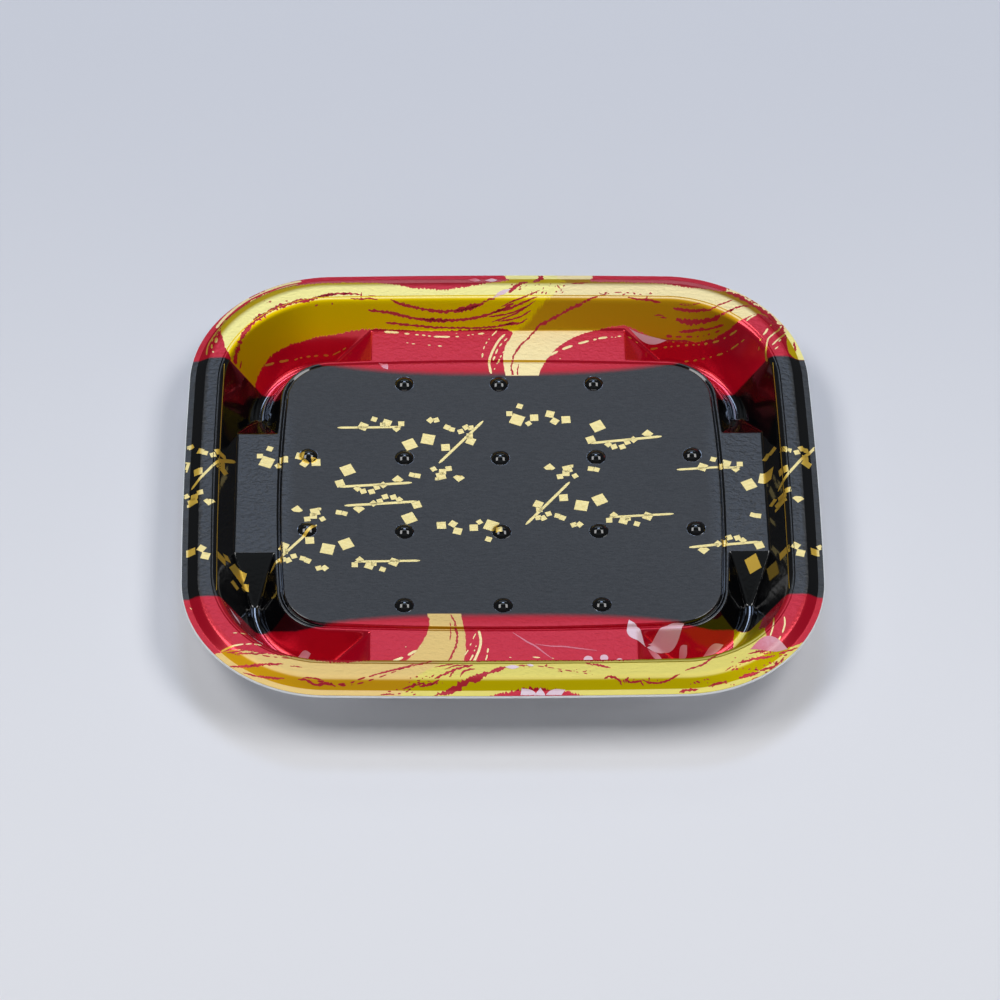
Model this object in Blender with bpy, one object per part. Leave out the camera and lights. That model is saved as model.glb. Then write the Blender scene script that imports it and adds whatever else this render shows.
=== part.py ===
"""A bento tray: one sheet of foamed polystyrene pressed to shape, with a glossy printed film bonded to its food side.

Metres, +Z up. The tray stands on z = 0 with its middle on the Z axis, its long sides along X.
Every surface of it is the same pressed form, moved out or in by the thickness of foam and film.
"""

import math
from collections import namedtuple

import bmesh
import bpy
from mathutils import Vector
from mathutils.geometry import delaunay_2d_cdt

# Whole tray, over the lip
LENGTH = 0.1958
WIDTH = 0.1706
RIM_HEIGHT = 0.0197
RIM_CORNER_RADIUS = 0.0446
RIM_BOW = 0.0005

# Sheet and film
SHEET = 0.0010
FILM = 0.0001
BOND_GAP = 0.00005

# Rim, from the cut edge inwards
LIP_WIDTH = 0.0018
LIP_TILT = math.radians(5)
LIP_DROP = 0.0020
SHOULDER_RUN = 0.0035
RIM_LAND = 0.0034
LONG_SIDE_EXTRA = 0.0018
RIM_FILLET = 0.0024
WALL_ANGLE = math.radians(61.6)

# Ledges at the middle of each side, and the channels that sink between them at the corners
LEDGE_STEP = 0.00145
LONG_END_RUN = 0.0116
SHORT_END_RUN = 0.0135
CHANNEL_LEAD = 0.0008
CHANNEL_FLAT = 0.0014
BASE_ANGLE = math.radians(60)
WALL_FOOT_FILLET = 0.0015
BASE_FOOT_FILLET = 0.0010

# Raised floor, its groove and its dished middle
FLOOR_BOW = 0.0014
FLOOR_HEIGHT = 0.0092
FLOOR_SAG = 0.0018
FLOOR_EDGE_DROP = 0.00025
GROOVE_WIDTH = 0.0017
GROOVE_SHARE = 0.4
CREST_ROUND = 0.0005

# Domes that keep food off the floor
DOME_PITCH = 0.030
DOME_RADIUS = 0.00295
DOME_HEIGHT = 0.0014
DOME_MARGIN = 0.003

# Facets
CORNER_STEPS = 9
ROUND_STEPS = 3
DOME_SIDES = 10
DOME_RINGS = 3

# A point of the cross-section: how far out from the corner's centre, how high, how far its ring bows
# outwards at the middle of a side, and how much wider its ring is than the inner ones.
Point = namedtuple("Point", "radius height bow extra")

# A place on the way round the tray: the plan point and direction that a section starts from, the share
# of the bow that it has, the channel's depth there from 0 to 1, and the quarter that it lies in.
Station = namedtuple("Station", "start direction bow depth quarter")

STRAIGHT_X = LENGTH / 2 - RIM_BOW - RIM_CORNER_RADIUS
STRAIGHT_Y = WIDTH / 2 - RIM_BOW - RIM_CORNER_RADIUS - LONG_SIDE_EXTRA
LEDGE_HEIGHT = FLOOR_HEIGHT + LEDGE_STEP
CHANNEL_FLOOR = SHEET
CHANNEL_DEPTH = LEDGE_HEIGHT - CHANNEL_FLOOR


def clear_scene():
    for obj in list(bpy.data.objects):
        bpy.data.objects.remove(obj, do_unlink=True)


def floor_height(x, y):
    """The dished floor: lowest in the middle, and highest at its corners."""
    u = x / (STRAIGHT_X + FLOOR_CORNER_RADIUS + FLOOR_BOW)
    v = y / (STRAIGHT_Y + FLOOR_CORNER_RADIUS + FLOOR_BOW)
    return FLOOR_HEIGHT + FLOOR_SAG * (u * u + v * v - 0.6 * u * u * v * v)


def arc(start, radius, angle_from, angle_to, steps, sign):
    """(radius, height) points of a round in the section, whose first point is start.

    Angles are the surface's slope, and sign is 1 where the round is humped and -1 where it is hollow.
    """
    points = []
    for i in range(steps + 1):
        slope = angle_from + (angle_to - angle_from) * i / steps
        inward = sign * radius * (math.sin(slope) - math.sin(angle_from))
        drop = sign * radius * (math.cos(angle_from) - math.cos(slope))
        points.append((start[0] - inward, start[1] - drop))
    return points


def rim_section():
    """Lip, outer shoulder, land and inner shoulder, down to the start of the wall."""
    edge_height = RIM_HEIGHT - LIP_DROP
    lip_rise = LIP_WIDTH * math.tan(LIP_TILT)
    crease_radius = RIM_CORNER_RADIUS - LIP_WIDTH
    crease_height = edge_height + lip_rise
    rise = RIM_HEIGHT - crease_height
    steepest = 2 * math.atan2(rise, SHOULDER_RUN)
    shoulder_radius = SHOULDER_RUN / math.sin(steepest)
    points = [Point(RIM_CORNER_RADIUS, edge_height, RIM_BOW, LONG_SIDE_EXTRA)]
    for radius, height in arc((crease_radius, crease_height), shoulder_radius, -steepest, 0, ROUND_STEPS, 1):
        points.append(Point(radius, height, RIM_BOW, LONG_SIDE_EXTRA))
    land_end = crease_radius - SHOULDER_RUN - RIM_LAND
    for radius, height in arc((land_end, RIM_HEIGHT), RIM_FILLET, 0, WALL_ANGLE, ROUND_STEPS, 1):
        points.append(Point(radius, height, RIM_BOW, 0))
    return points


def wall_radius(height):
    """How far out the sloping wall is at this height, were there no round at its foot."""
    top = rim_section()[-1]
    return top.radius - (top.height - height) / math.tan(WALL_ANGLE)


WALL_FOOT_TANGENT = WALL_FOOT_FILLET * math.tan(WALL_ANGLE / 2)
BASE_FOOT_TANGENT = BASE_FOOT_FILLET * math.tan(BASE_ANGLE / 2)
BASE_RUN = CHANNEL_DEPTH / math.tan(BASE_ANGLE)
BASE_EDGE_RADIUS = (
    wall_radius(CHANNEL_FLOOR) - WALL_FOOT_TANGENT - CHANNEL_FLAT - BASE_FOOT_TANGENT - BASE_RUN
)
CREST_RADIUS = BASE_EDGE_RADIUS - CREST_ROUND
FLOOR_CORNER_RADIUS = CREST_RADIUS - GROOVE_WIDTH


def channel_section(depth):
    """The wall's foot, the flat between wall and floor, and the base's side, at this depth of channel.

    At depth 0 the flat is a ledge beside the floor, and at depth 1 it is the foot that the tray stands on.
    """
    height = LEDGE_HEIGHT - depth * CHANNEL_DEPTH
    corner = wall_radius(height)
    foot = BASE_EDGE_RADIUS + depth * BASE_RUN
    fillet_radius = corner + WALL_FOOT_TANGENT * math.cos(WALL_ANGLE)
    fillet_height = height + WALL_FOOT_TANGENT * math.sin(WALL_ANGLE)

    points = []
    for radius, rise in arc((fillet_radius, fillet_height), WALL_FOOT_FILLET, WALL_ANGLE, 0, 2, -1):
        points.append(Point(radius, rise, 0, 0))
    points.append(Point(foot + BASE_FOOT_TANGENT, height, FLOOR_BOW, 0))
    side_run = (1 - depth) / 2 - depth * math.cos(BASE_ANGLE)
    side_rise = depth * math.sin(BASE_ANGLE)
    side_radius = foot + BASE_FOOT_TANGENT * side_run
    points.append(Point(side_radius, height + BASE_FOOT_TANGENT * side_rise, FLOOR_BOW, 0))
    return points


def crest_section(depth, floor_edge):
    """The base's rounded top edge, the groove and the floor's edge."""
    groove = LEDGE_HEIGHT - GROOVE_SHARE * SHEET
    return [
        Point(BASE_EDGE_RADIUS, LEDGE_HEIGHT - depth * CREST_ROUND, FLOOR_BOW, 0),
        Point(CREST_RADIUS, LEDGE_HEIGHT, FLOOR_BOW, 0),
        Point(FLOOR_CORNER_RADIUS + 0.6 * GROOVE_WIDTH, groove, FLOOR_BOW, 0),
        Point(FLOOR_CORNER_RADIUS + 0.35 * GROOVE_WIDTH, groove, FLOOR_BOW, 0),
        Point(FLOOR_CORNER_RADIUS + 0.1 * GROOVE_WIDTH, floor_edge - FLOOR_EDGE_DROP, FLOOR_BOW, 0),
        Point(FLOOR_CORNER_RADIUS, floor_edge, FLOOR_BOW, 0),
    ]


def plain_crest_section(floor_edge):
    """The same stretch under the sheet, where the narrow groove doesn't show through."""
    return [
        Point(BASE_EDGE_RADIUS, LEDGE_HEIGHT, FLOOR_BOW, 0),
        Point(FLOOR_CORNER_RADIUS, floor_edge, FLOOR_BOW, 0),
    ]


def moved(points, distance):
    """The section moved outwards along its own normals, so that a sheet keeps its thickness."""
    result = []
    for i, point in enumerate(points):
        before = points[max(i - 1, 0)]
        after = points[min(i + 1, len(points) - 1)]
        normals = []
        for a, b in ((before, point), (point, after)):
            along = Vector((b.radius - a.radius, b.height - a.height))
            if along.length > 0:
                along.normalize()
                normals.append(Vector((along.y, -along.x)))
        middle = sum(normals, Vector((0, 0))).normalized()
        miter = distance / middle.dot(normals[0])
        result.append(point._replace(radius=point.radius + miter * middle.x, height=point.height + miter * middle.y))
    return result


def quarter_stations(distance):
    """Stations from the middle of a short side, round one corner, to the middle of a long side."""
    short_shift = distance * math.tan(math.atan2(CHANNEL_DEPTH, SHORT_END_RUN) / 2)
    long_shift = distance * math.tan(math.atan2(CHANNEL_DEPTH, LONG_END_RUN) / 2)
    short_end = STRAIGHT_Y - CHANNEL_LEAD - SHORT_END_RUN + short_shift
    long_end = STRAIGHT_X - CHANNEL_LEAD - LONG_END_RUN + long_shift
    stations = []
    for y, depth in ((0, 0), (short_end, 0), (short_end + SHORT_END_RUN, 1)):
        bow = 1 - (y / STRAIGHT_Y) ** 2
        stations.append(Station(Vector((STRAIGHT_X, y)), Vector((1, 0)), bow, depth, Vector((1, 1))))
    for i in range(CORNER_STEPS + 1):
        angle = math.pi / 2 * i / CORNER_STEPS
        direction = Vector((math.cos(angle), math.sin(angle)))
        stations.append(Station(Vector((STRAIGHT_X, STRAIGHT_Y)), direction, 0, 1, Vector((1, 1))))
    for x, depth in ((long_end + LONG_END_RUN, 1), (long_end, 0), (long_end / 2, 0), (0, 0)):
        bow = 1 - (x / STRAIGHT_X) ** 2
        stations.append(Station(Vector((x, STRAIGHT_Y)), Vector((0, 1)), bow, depth, Vector((1, 1))))
    return stations


def all_stations(distance):
    quarter = quarter_stations(distance)
    stations = []
    for side_x, side_y in ((1, 1), (-1, 1), (-1, -1), (1, -1)):
        step = side_x * side_y
        run = quarter[::step][:-1]
        stations += [station._replace(quarter=Vector((side_x, side_y))) for station in run]
    return stations


def placed(point, station):
    """The 3-D place of one point of the section at one station."""
    reach = station.direction * (point.radius + point.bow * station.bow)
    stretch = (STRAIGHT_Y + point.extra) / STRAIGHT_Y
    x = (station.start.x + reach.x) * station.quarter.x
    y = (station.start.y * stretch + reach.y) * station.quarter.y
    return Vector((x, y, point.height))


def pressed_rings(distance, grooved):
    """The pressed form as rings from the lip to the floor's edge, moved outwards by distance."""
    columns = []
    for station in all_stations(distance):
        edge = placed(Point(FLOOR_CORNER_RADIUS, 0, FLOOR_BOW, 0), station)
        floor_edge = floor_height(edge.x, edge.y)
        crest = crest_section(station.depth, floor_edge) if grooved else plain_crest_section(floor_edge)
        section = rim_section() + channel_section(station.depth) + crest
        columns.append([placed(point, station) for point in moved(section, distance)])
    return list(zip(*columns))


def floor_grid():
    """Places half a dome pitch apart that are clear of the floor's edge, as those of domes and those between.

    The clearance is counted from the floor's rounded corners, so the corners themselves stay plain.
    """
    step = DOME_PITCH / 2
    columns = math.ceil(LENGTH / 2 / step)
    rows = math.ceil(WIDTH / 2 / step)
    domes = []
    between = []
    for row in range(-rows, rows + 1):
        for column in range(-columns, columns + 1):
            place = Vector((column * step, row * step))
            past = Vector((max(abs(place.x) - STRAIGHT_X, 0), max(abs(place.y) - STRAIGHT_Y, 0)))
            if past.length > FLOOR_CORNER_RADIUS - DOME_RADIUS - DOME_MARGIN:
                continue
            if column % 2 == 0 and row % 2 == 1:
                domes.append(place)
            else:
                between.append(place)
    return domes, between


def dome_rings(centre, distance):
    """One dome as rings from its foot upwards, and the point at its top."""
    sphere = (DOME_RADIUS ** 2 + DOME_HEIGHT ** 2) / (2 * DOME_HEIGHT)
    floor = floor_height(centre.x, centre.y)
    middle = floor + DOME_HEIGHT - sphere
    radius = sphere + distance
    foot_angle = math.acos((floor + distance - middle) / radius)
    rings = []
    for i in range(DOME_RINGS):
        polar = foot_angle * (1 - i / DOME_RINGS)
        ring = []
        for side in range(DOME_SIDES):
            angle = math.tau * (side + 0.5) / DOME_SIDES
            plan = centre + radius * math.sin(polar) * Vector((math.cos(angle), math.sin(angle)))
            ring.append(Vector((plan.x, plan.y, middle + radius * math.cos(polar))))
        rings.append(ring)
    return rings, Vector((centre.x, centre.y, middle + radius))


def floor_facets():
    """How the floor between its edge and the domes is cut into triangles, the same for every surface."""
    domes, between = floor_grid()
    points = [place.to_2d() for place in pressed_rings(0, True)[-1]]
    loops = [list(range(len(points)))]
    for centre in domes:
        foot = dome_rings(centre, 0)[0][0]
        loops.append(list(range(len(points), len(points) + len(foot))))
        points += [place.to_2d() for place in foot]
    points += between
    edges = [(loop[i - 1], loop[i]) for loop in loops for i in range(len(loop))]
    triangles = delaunay_2d_cdt(points, edges, [], 1, 1e-7)[2]
    feet = [set(loop) for loop in loops[1:]]
    return [list(triangle) for triangle in triangles if not any(set(triangle) <= foot for foot in feet)]


def add_surface(bm, distance, grooved, facets):
    """Adds one surface of the pressed form, and gives the vertices of its outer edge."""
    rings = [[bm.verts.new(place) for place in ring] for ring in pressed_rings(distance, grooved)]
    for outer, inner in zip(rings, rings[1:]):
        add_band(bm, outer, inner)
    domes, between = floor_grid()
    floor = list(rings[-1])
    for centre in domes:
        places, top = dome_rings(centre, distance)
        dome = [[bm.verts.new(place) for place in ring] for ring in places]
        for lower, upper in zip(dome, dome[1:]):
            add_band(bm, lower, upper)
        peak = bm.verts.new(top)
        for i in range(DOME_SIDES):
            bm.faces.new((dome[-1][i - 1], dome[-1][i], peak))
        floor += dome[0]
    for place in between:
        floor.append(bm.verts.new((place.x, place.y, floor_height(place.x, place.y) + distance)))
    for facet in facets:
        bm.faces.new([floor[i] for i in facet])
    return rings[0]


def add_band(bm, outer, inner):
    """Triangles between two rings, each four-sided gap cut along the same diagonal."""
    for i in range(len(outer)):
        bm.faces.new((outer[i - 1], outer[i], inner[i]))
        bm.faces.new((outer[i - 1], inner[i], inner[i - 1]))


def pressed_sheet(name, upper, lower, lower_grooved, material):
    """A closed sheet between two surfaces of the pressed form, cut square at the lip."""
    facets = floor_facets()
    bm = bmesh.new()
    upper_edge = add_surface(bm, upper, True, facets)
    lower_edge = add_surface(bm, lower, lower_grooved, facets)
    add_band(bm, upper_edge, lower_edge)
    bmesh.ops.recalc_face_normals(bm, faces=bm.faces)
    mesh = bpy.data.meshes.new(name)
    bm.to_mesh(mesh)
    bm.free()
    mesh.materials.append(material)
    mesh.shade_smooth()
    mesh.set_sharp_from_angle(angle=math.radians(25))
    obj = bpy.data.objects.new(name, mesh)
    bpy.context.scene.collection.objects.link(obj)
    return obj


def principled(name, colour, roughness, metallic=0.0):
    material = bpy.data.materials.new(name)
    material.use_nodes = True
    shader = material.node_tree.nodes["Principled BSDF"]
    shader.inputs["Base Color"].default_value = (*colour, 1)
    shader.inputs["Roughness"].default_value = roughness
    shader.inputs["Metallic"].default_value = metallic
    return material


def foam_tray():
    """The white foam sheet that gives the tray its stiffness. Its cut edge shows all round under the film."""
    white_foam = principled("white_foam", (0.86, 0.88, 0.90), 0.6)
    return pressed_sheet("foam_tray", 0, -SHEET, False, white_foam)


def printed_film():
    """The printed film, which follows the foam all over its food side."""
    black_gloss = principled("printed_film", (0.012, 0.012, 0.014), 0.18)
    return pressed_sheet("printed_film", BOND_GAP + FILM, BOND_GAP, True, black_gloss)


clear_scene()
tray = foam_tray()
film = printed_film()
film.parent = tray
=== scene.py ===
"""Looks of a pressed bento tray: white foam sheet under a glossy film printed in black, crimson and gold.

The tray's surfaces repeat the pressed form of the CAD part with softer rounds. The print is drawn in plan, in
millimetres, and laid on the film: streams of gold at both ends, and cut gold leaf across the black middle.
"""
import math
import random
from collections import namedtuple

import bpy
import numpy as np
from mathutils import Matrix, Vector
from mathutils.bvhtree import BVHTree
from mathutils.geometry import delaunay_2d_cdt


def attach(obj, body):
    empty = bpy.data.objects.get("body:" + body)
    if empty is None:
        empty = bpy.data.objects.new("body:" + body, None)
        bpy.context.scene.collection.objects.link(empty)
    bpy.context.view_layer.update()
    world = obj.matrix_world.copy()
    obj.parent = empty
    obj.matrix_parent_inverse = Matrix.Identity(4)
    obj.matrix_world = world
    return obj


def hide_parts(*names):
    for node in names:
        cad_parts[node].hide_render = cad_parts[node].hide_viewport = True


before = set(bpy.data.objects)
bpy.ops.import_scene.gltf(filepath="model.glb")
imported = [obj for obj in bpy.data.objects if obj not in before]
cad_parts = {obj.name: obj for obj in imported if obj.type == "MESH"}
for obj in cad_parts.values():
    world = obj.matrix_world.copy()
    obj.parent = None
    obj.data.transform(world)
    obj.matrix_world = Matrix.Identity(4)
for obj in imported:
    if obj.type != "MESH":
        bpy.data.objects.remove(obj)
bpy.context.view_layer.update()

MM = 0.001

# Camera, fitted to the photograph of the tray
CAMERA_ELEVATION = math.radians(49.81)
CAMERA_YAW = math.radians(1.63)
CAMERA_ROLL = math.radians(1.06)
CAMERA_DISTANCE = 1.366
CAMERA_AIM = (-0.00028, -0.00192, 0.0092)
CAMERA_LENS = 158.4
CAMERA_SENSOR = 36

# The tray's sizes, as in the CAD part. The slope, its longer run on the long sides and the fillets of the
# shoulder and the valley are softer here.
LENGTH = 0.1958
WIDTH = 0.1706
RIM_HEIGHT = 0.0197
RIM_CORNER_RADIUS = 0.0446
RIM_BOW = 0.0005
SHEET = 0.0010
FILM = 0.0001
BOND_GAP = 0.00005
LIP_WIDTH = 0.0018
LIP_TILT = math.radians(5)
LIP_DROP = 0.0020
SHOULDER_RUN = 0.0035
SLOPE_RUN = 0.0043
LONG_SLOPE_EXTRA = 0.0005
SHOULDER_FILLET = 0.0040
RIM_LAND = 0.0034
LONG_SIDE_EXTRA = 0.0018
RIM_FILLET = 0.0024
WALL_ANGLE = math.radians(61.6)
LEDGE_STEP = 0.00145
LONG_END_RUN = 0.0116
SHORT_END_RUN = 0.0135
CHANNEL_LEAD = 0.0008
CHANNEL_FLAT = 0.0014
BASE_ANGLE = math.radians(60)
WALL_FOOT_FILLET = 0.0015
BASE_FOOT_FILLET = 0.0010
FLOOR_BOW = 0.0014
FLOOR_HEIGHT = 0.0092
FLOOR_SAG = 0.0018
FLOOR_CORNER_LOSS = 0.6
GROOVE_WIDTH = 0.0017
GROOVE_SHARE = 0.4
GROOVE_BANK = 0.6
GROOVE_BED = 0.35
GROOVE_RISE = 0.1
CREST_ROUND = 0.0005
VALLEY_FILLET = 0.0024
DOME_PITCH = 0.030
DOME_ROWS = (-2.5, -1.5, -0.5, 0.5, 1.5, 2.5)
DOME_COLUMNS = (-3, -2, -1, 0, 1, 2, 3)
DOME_RADIUS = 0.00295
DOME_HEIGHT = 0.0014
DOME_MARGIN = 0.003

STRAIGHT_X = LENGTH / 2 - RIM_BOW - RIM_CORNER_RADIUS
STRAIGHT_Y = WIDTH / 2 - RIM_BOW - RIM_CORNER_RADIUS - LONG_SIDE_EXTRA
LEDGE_HEIGHT = FLOOR_HEIGHT + LEDGE_STEP
CHANNEL_DEPTH = LEDGE_HEIGHT - SHEET

# Rounds that only the fine surface has, and limits that keep them apart
CREASE_FILLET = 0.0005
EDGE_FILLET = 0.0004
BEND_EASE = 0.0004
UNDER_FILLET = 1.3 * SHEET
BASE_SETBACK = 0.0006
PEAK_REACH = 1.4
LEAST_TANGENT = 0.00008
FILLET_ROOM = 0.48
LEAST_MITER = 0.5
SHARP_ANGLE = math.radians(40)

# How far the foam's cut edge swells past the film, in how many rings, and how squarely
EDGE_BULGE = 0.00035
EDGE_RINGS = 5
EDGE_FULLNESS = 0.6

# Spacing of the fine surface, and of its stations about a bend in shares of its easing
STATION_PITCH = 0.0011
BEND_STATIONS = (-1.6, -0.8, -0.35, 0, 0.35, 0.8, 1.6)
FLOOR_PITCH = 0.0022
FLOOR_CLEARANCE = 0.0015
DOME_CLEARANCE = 0.0010
DOME_SIDES = 40
DOME_STEPS = 9
DOME_FOOT = 0.0002
DOME_FOOT_RISE = 0.00012

# How Blender fills the floor: inside its outline only, with places this close taken as one
INSIDE_ONLY = 1
CLOSENESS = 1e-8

# A corner of the section: its place, how far the sides bow there, how much further out the long sides are,
# its fillet with the steps of its arc, and the number of pieces that the stretch after it is cut into
Corner = namedtuple("Corner", "radius height bow extra fillet steps pieces", defaults=(0.0, 0, 1))


def floor_height(x, y):
    """The dished floor: lowest in the middle, and highest at its corners."""
    u = x / (STRAIGHT_X + FLOOR_CORNER_RADIUS + FLOOR_BOW)
    v = y / (STRAIGHT_Y + FLOOR_CORNER_RADIUS + FLOOR_BOW)
    return FLOOR_HEIGHT + FLOOR_SAG * (u * u + v * v - FLOOR_CORNER_LOSS * u * u * v * v)


def rim_corners():
    """Cut edge, crease, outer shoulder, land and inner shoulder."""
    crease_radius = RIM_CORNER_RADIUS - LIP_WIDTH
    crease_height = RIM_HEIGHT - LIP_DROP + LIP_WIDTH * math.tan(LIP_TILT)
    rise = RIM_HEIGHT - crease_height
    land_start = crease_radius - SLOPE_RUN
    slope = math.atan2(rise, SLOPE_RUN)
    peak_radius = land_start + PEAK_REACH * SHOULDER_FILLET * math.tan(slope / 2)
    land_end = crease_radius - SHOULDER_RUN - RIM_LAND
    long_land = LONG_SIDE_EXTRA - LONG_SLOPE_EXTRA
    inner_corner = land_end - RIM_FILLET * math.tan(WALL_ANGLE / 2)
    return [
        Corner(RIM_CORNER_RADIUS, RIM_HEIGHT - LIP_DROP, RIM_BOW, LONG_SIDE_EXTRA, pieces=2),
        Corner(crease_radius, crease_height, RIM_BOW, LONG_SIDE_EXTRA, CREASE_FILLET, 4, 3),
        Corner(peak_radius, RIM_HEIGHT, RIM_BOW, long_land, SHOULDER_FILLET, 8),
        Corner(land_start, RIM_HEIGHT, RIM_BOW, long_land, pieces=4),
        Corner(land_end, RIM_HEIGHT, RIM_BOW, 0),
        Corner(inner_corner, RIM_HEIGHT, RIM_BOW, 0, RIM_FILLET, 10, 14),
    ]


def wall_radius(height):
    """How far out the sloping wall is at this height, were there no round at its foot."""
    top = rim_corners()[-1]
    return top.radius - (RIM_HEIGHT - height) / math.tan(WALL_ANGLE)


WALL_FOOT_TANGENT = WALL_FOOT_FILLET * math.tan(WALL_ANGLE / 2)
BASE_FOOT_TANGENT = BASE_FOOT_FILLET * math.tan(BASE_ANGLE / 2)
BASE_RUN = CHANNEL_DEPTH / math.tan(BASE_ANGLE)
BASE_EDGE_RADIUS = wall_radius(SHEET) - WALL_FOOT_TANGENT - CHANNEL_FLAT - BASE_FOOT_TANGENT - BASE_RUN
CREST_RADIUS = BASE_EDGE_RADIUS - CREST_ROUND
FLOOR_CORNER_RADIUS = CREST_RADIUS - GROOVE_WIDTH


def section_corners(depth, floor_edge, grooved):
    """The whole section at this depth of channel, from the cut edge to the floor's edge."""
    height = LEDGE_HEIGHT - depth * CHANNEL_DEPTH
    foot = BASE_EDGE_RADIUS + depth * BASE_RUN + (1 - depth) * BASE_SETBACK
    groove = LEDGE_HEIGHT - GROOVE_SHARE * SHEET
    corners = rim_corners()
    wall_fillet = WALL_FOOT_FILLET + depth * (VALLEY_FILLET - WALL_FOOT_FILLET)
    base_fillet = BASE_FOOT_FILLET + depth * (VALLEY_FILLET - BASE_FOOT_FILLET)
    corners.append(Corner(wall_radius(height), height, 0, 0, wall_fillet, 8, 14))
    corners.append(Corner(foot, height, FLOOR_BOW, 0, base_fillet, 7, 8))
    if not grooved:
        corners.append(Corner(BASE_EDGE_RADIUS, LEDGE_HEIGHT, FLOOR_BOW, 0, UNDER_FILLET, 5))
        corners.append(Corner(FLOOR_CORNER_RADIUS, floor_edge, FLOOR_BOW, 0))
        return corners
    corners += [
        Corner(BASE_EDGE_RADIUS, LEDGE_HEIGHT, FLOOR_BOW, 0, CREST_ROUND, 4),
        Corner(CREST_RADIUS, LEDGE_HEIGHT, FLOOR_BOW, 0, EDGE_FILLET, 4),
        Corner(FLOOR_CORNER_RADIUS + GROOVE_BANK * GROOVE_WIDTH, groove, FLOOR_BOW, 0, EDGE_FILLET, 3),
        Corner(FLOOR_CORNER_RADIUS + GROOVE_BED * GROOVE_WIDTH, groove, FLOOR_BOW, 0, EDGE_FILLET, 3),
        Corner(FLOOR_CORNER_RADIUS + GROOVE_RISE * GROOVE_WIDTH, floor_edge, FLOOR_BOW, 0, EDGE_FILLET, 4),
        Corner(FLOOR_CORNER_RADIUS - BASE_SETBACK, floor_edge, FLOOR_BOW, 0),
    ]
    return corners


def rounded(corners):
    """The section as close points: fillets as true arcs, and long stretches cut up."""
    flat = [np.array(corner[:4]) for corner in corners]
    cuts = []
    for i, corner in enumerate(corners):
        if corner.steps == 0:
            cuts.append([flat[i]])
            continue
        to_before = flat[i - 1] - flat[i]
        to_after = flat[i + 1] - flat[i]
        before = np.hypot(*to_before[:2])
        after = np.hypot(*to_after[:2])
        cosine = float(np.dot(to_before[:2], to_after[:2]) / (before * after))
        half_turn = (math.pi - math.acos(max(-1.0, min(1.0, cosine)))) / 2
        room_before = before * (1.0 if corners[i - 1].steps == 0 else FILLET_ROOM)
        room_after = after * (1.0 if corners[i + 1].steps == 0 else FILLET_ROOM)
        tangent = min(max(corner.fillet * math.tan(half_turn), LEAST_TANGENT), room_before, room_after)
        start = flat[i] + to_before * tangent / before
        end = flat[i] + to_after * tangent / after
        weight = math.cos(half_turn)
        arc = []
        for step in range(corner.steps + 1):
            t = step / corner.steps
            shares = np.array([(1 - t) ** 2, 2 * t * (1 - t) * weight, t * t])
            shares /= shares.sum()
            arc.append(shares[0] * start + shares[1] * flat[i] + shares[2] * end)
        cuts.append(arc)
    points = []
    for i, cut in enumerate(cuts):
        points += cut
        if i + 1 < len(cuts):
            gap = cuts[i + 1][0] - cut[-1]
            points += [cut[-1] + gap * k / corners[i].pieces for k in range(1, corners[i].pieces)]
    return np.array(points)


def moved(points, distance):
    """The section moved along its own normals, so that a sheet keeps its thickness."""
    along = np.diff(points[:, :2], axis=0)
    length = np.maximum(np.hypot(along[:, 0], along[:, 1]), 1e-9)
    along /= length[:, None]
    normals = np.stack((along[:, 1], -along[:, 0]), axis=1)
    before = np.vstack((normals[:1], normals))
    after = np.vstack((normals, normals[-1:]))
    middle = before + after
    middle /= np.hypot(middle[:, 0], middle[:, 1])[:, None]
    miter = distance / np.maximum((middle * before).sum(axis=1), LEAST_MITER)
    result = points.copy()
    result[:, :2] += middle * miter[:, None]
    return result


def eased_ramp(place, start, run):
    """Rises from 0 to 1 over the run, with both bends eased."""
    def eased(t):
        if abs(t) > BEND_EASE:
            return max(t, 0.0)
        return (t + BEND_EASE) ** 2 / (4 * BEND_EASE)
    return (eased(place - start) - eased(place - start - run)) / run


def side_places(length, bends):
    """Distances along a straight side: evenly spread, and closer at the bends."""
    count = round(length / STATION_PITCH)
    places = {round(length * i / count, 7) for i in range(count + 1)}
    ends = {0.0, round(length, 7)}
    for bend in bends:
        places = ends | {place for place in places if abs(place - bend) > STATION_PITCH}
        for offset in BEND_STATIONS:
            place = bend + offset * BEND_EASE
            if 0 < place < length:
                places.add(round(place, 7))
    return sorted(places)


def quarter_stations(distance):
    """Start, direction, share of the bow and channel depth on the way round one quarter of the tray."""
    short_shift = distance * math.tan(math.atan2(CHANNEL_DEPTH, SHORT_END_RUN) / 2)
    long_shift = distance * math.tan(math.atan2(CHANNEL_DEPTH, LONG_END_RUN) / 2)
    short_end = STRAIGHT_Y - CHANNEL_LEAD - SHORT_END_RUN
    long_end = STRAIGHT_X - CHANNEL_LEAD - LONG_END_RUN
    stations = []
    for y in side_places(STRAIGHT_Y, (short_end, short_end + SHORT_END_RUN)):
        depth = eased_ramp(y, short_end + short_shift, SHORT_END_RUN)
        stations.append(((STRAIGHT_X, y), (1.0, 0.0), 1 - (y / STRAIGHT_Y) ** 2, depth))
    corner_steps = round(math.pi / 2 * RIM_CORNER_RADIUS / STATION_PITCH)
    for i in range(1, corner_steps):
        angle = math.pi / 2 * i / corner_steps
        stations.append(((STRAIGHT_X, STRAIGHT_Y), (math.cos(angle), math.sin(angle)), 0.0, 1.0))
    for x in reversed(side_places(STRAIGHT_X, (long_end, long_end + LONG_END_RUN))):
        depth = eased_ramp(x, long_end + long_shift, LONG_END_RUN)
        stations.append(((x, STRAIGHT_Y), (0.0, 1.0), 1 - (x / STRAIGHT_X) ** 2, depth))
    return stations


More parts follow.
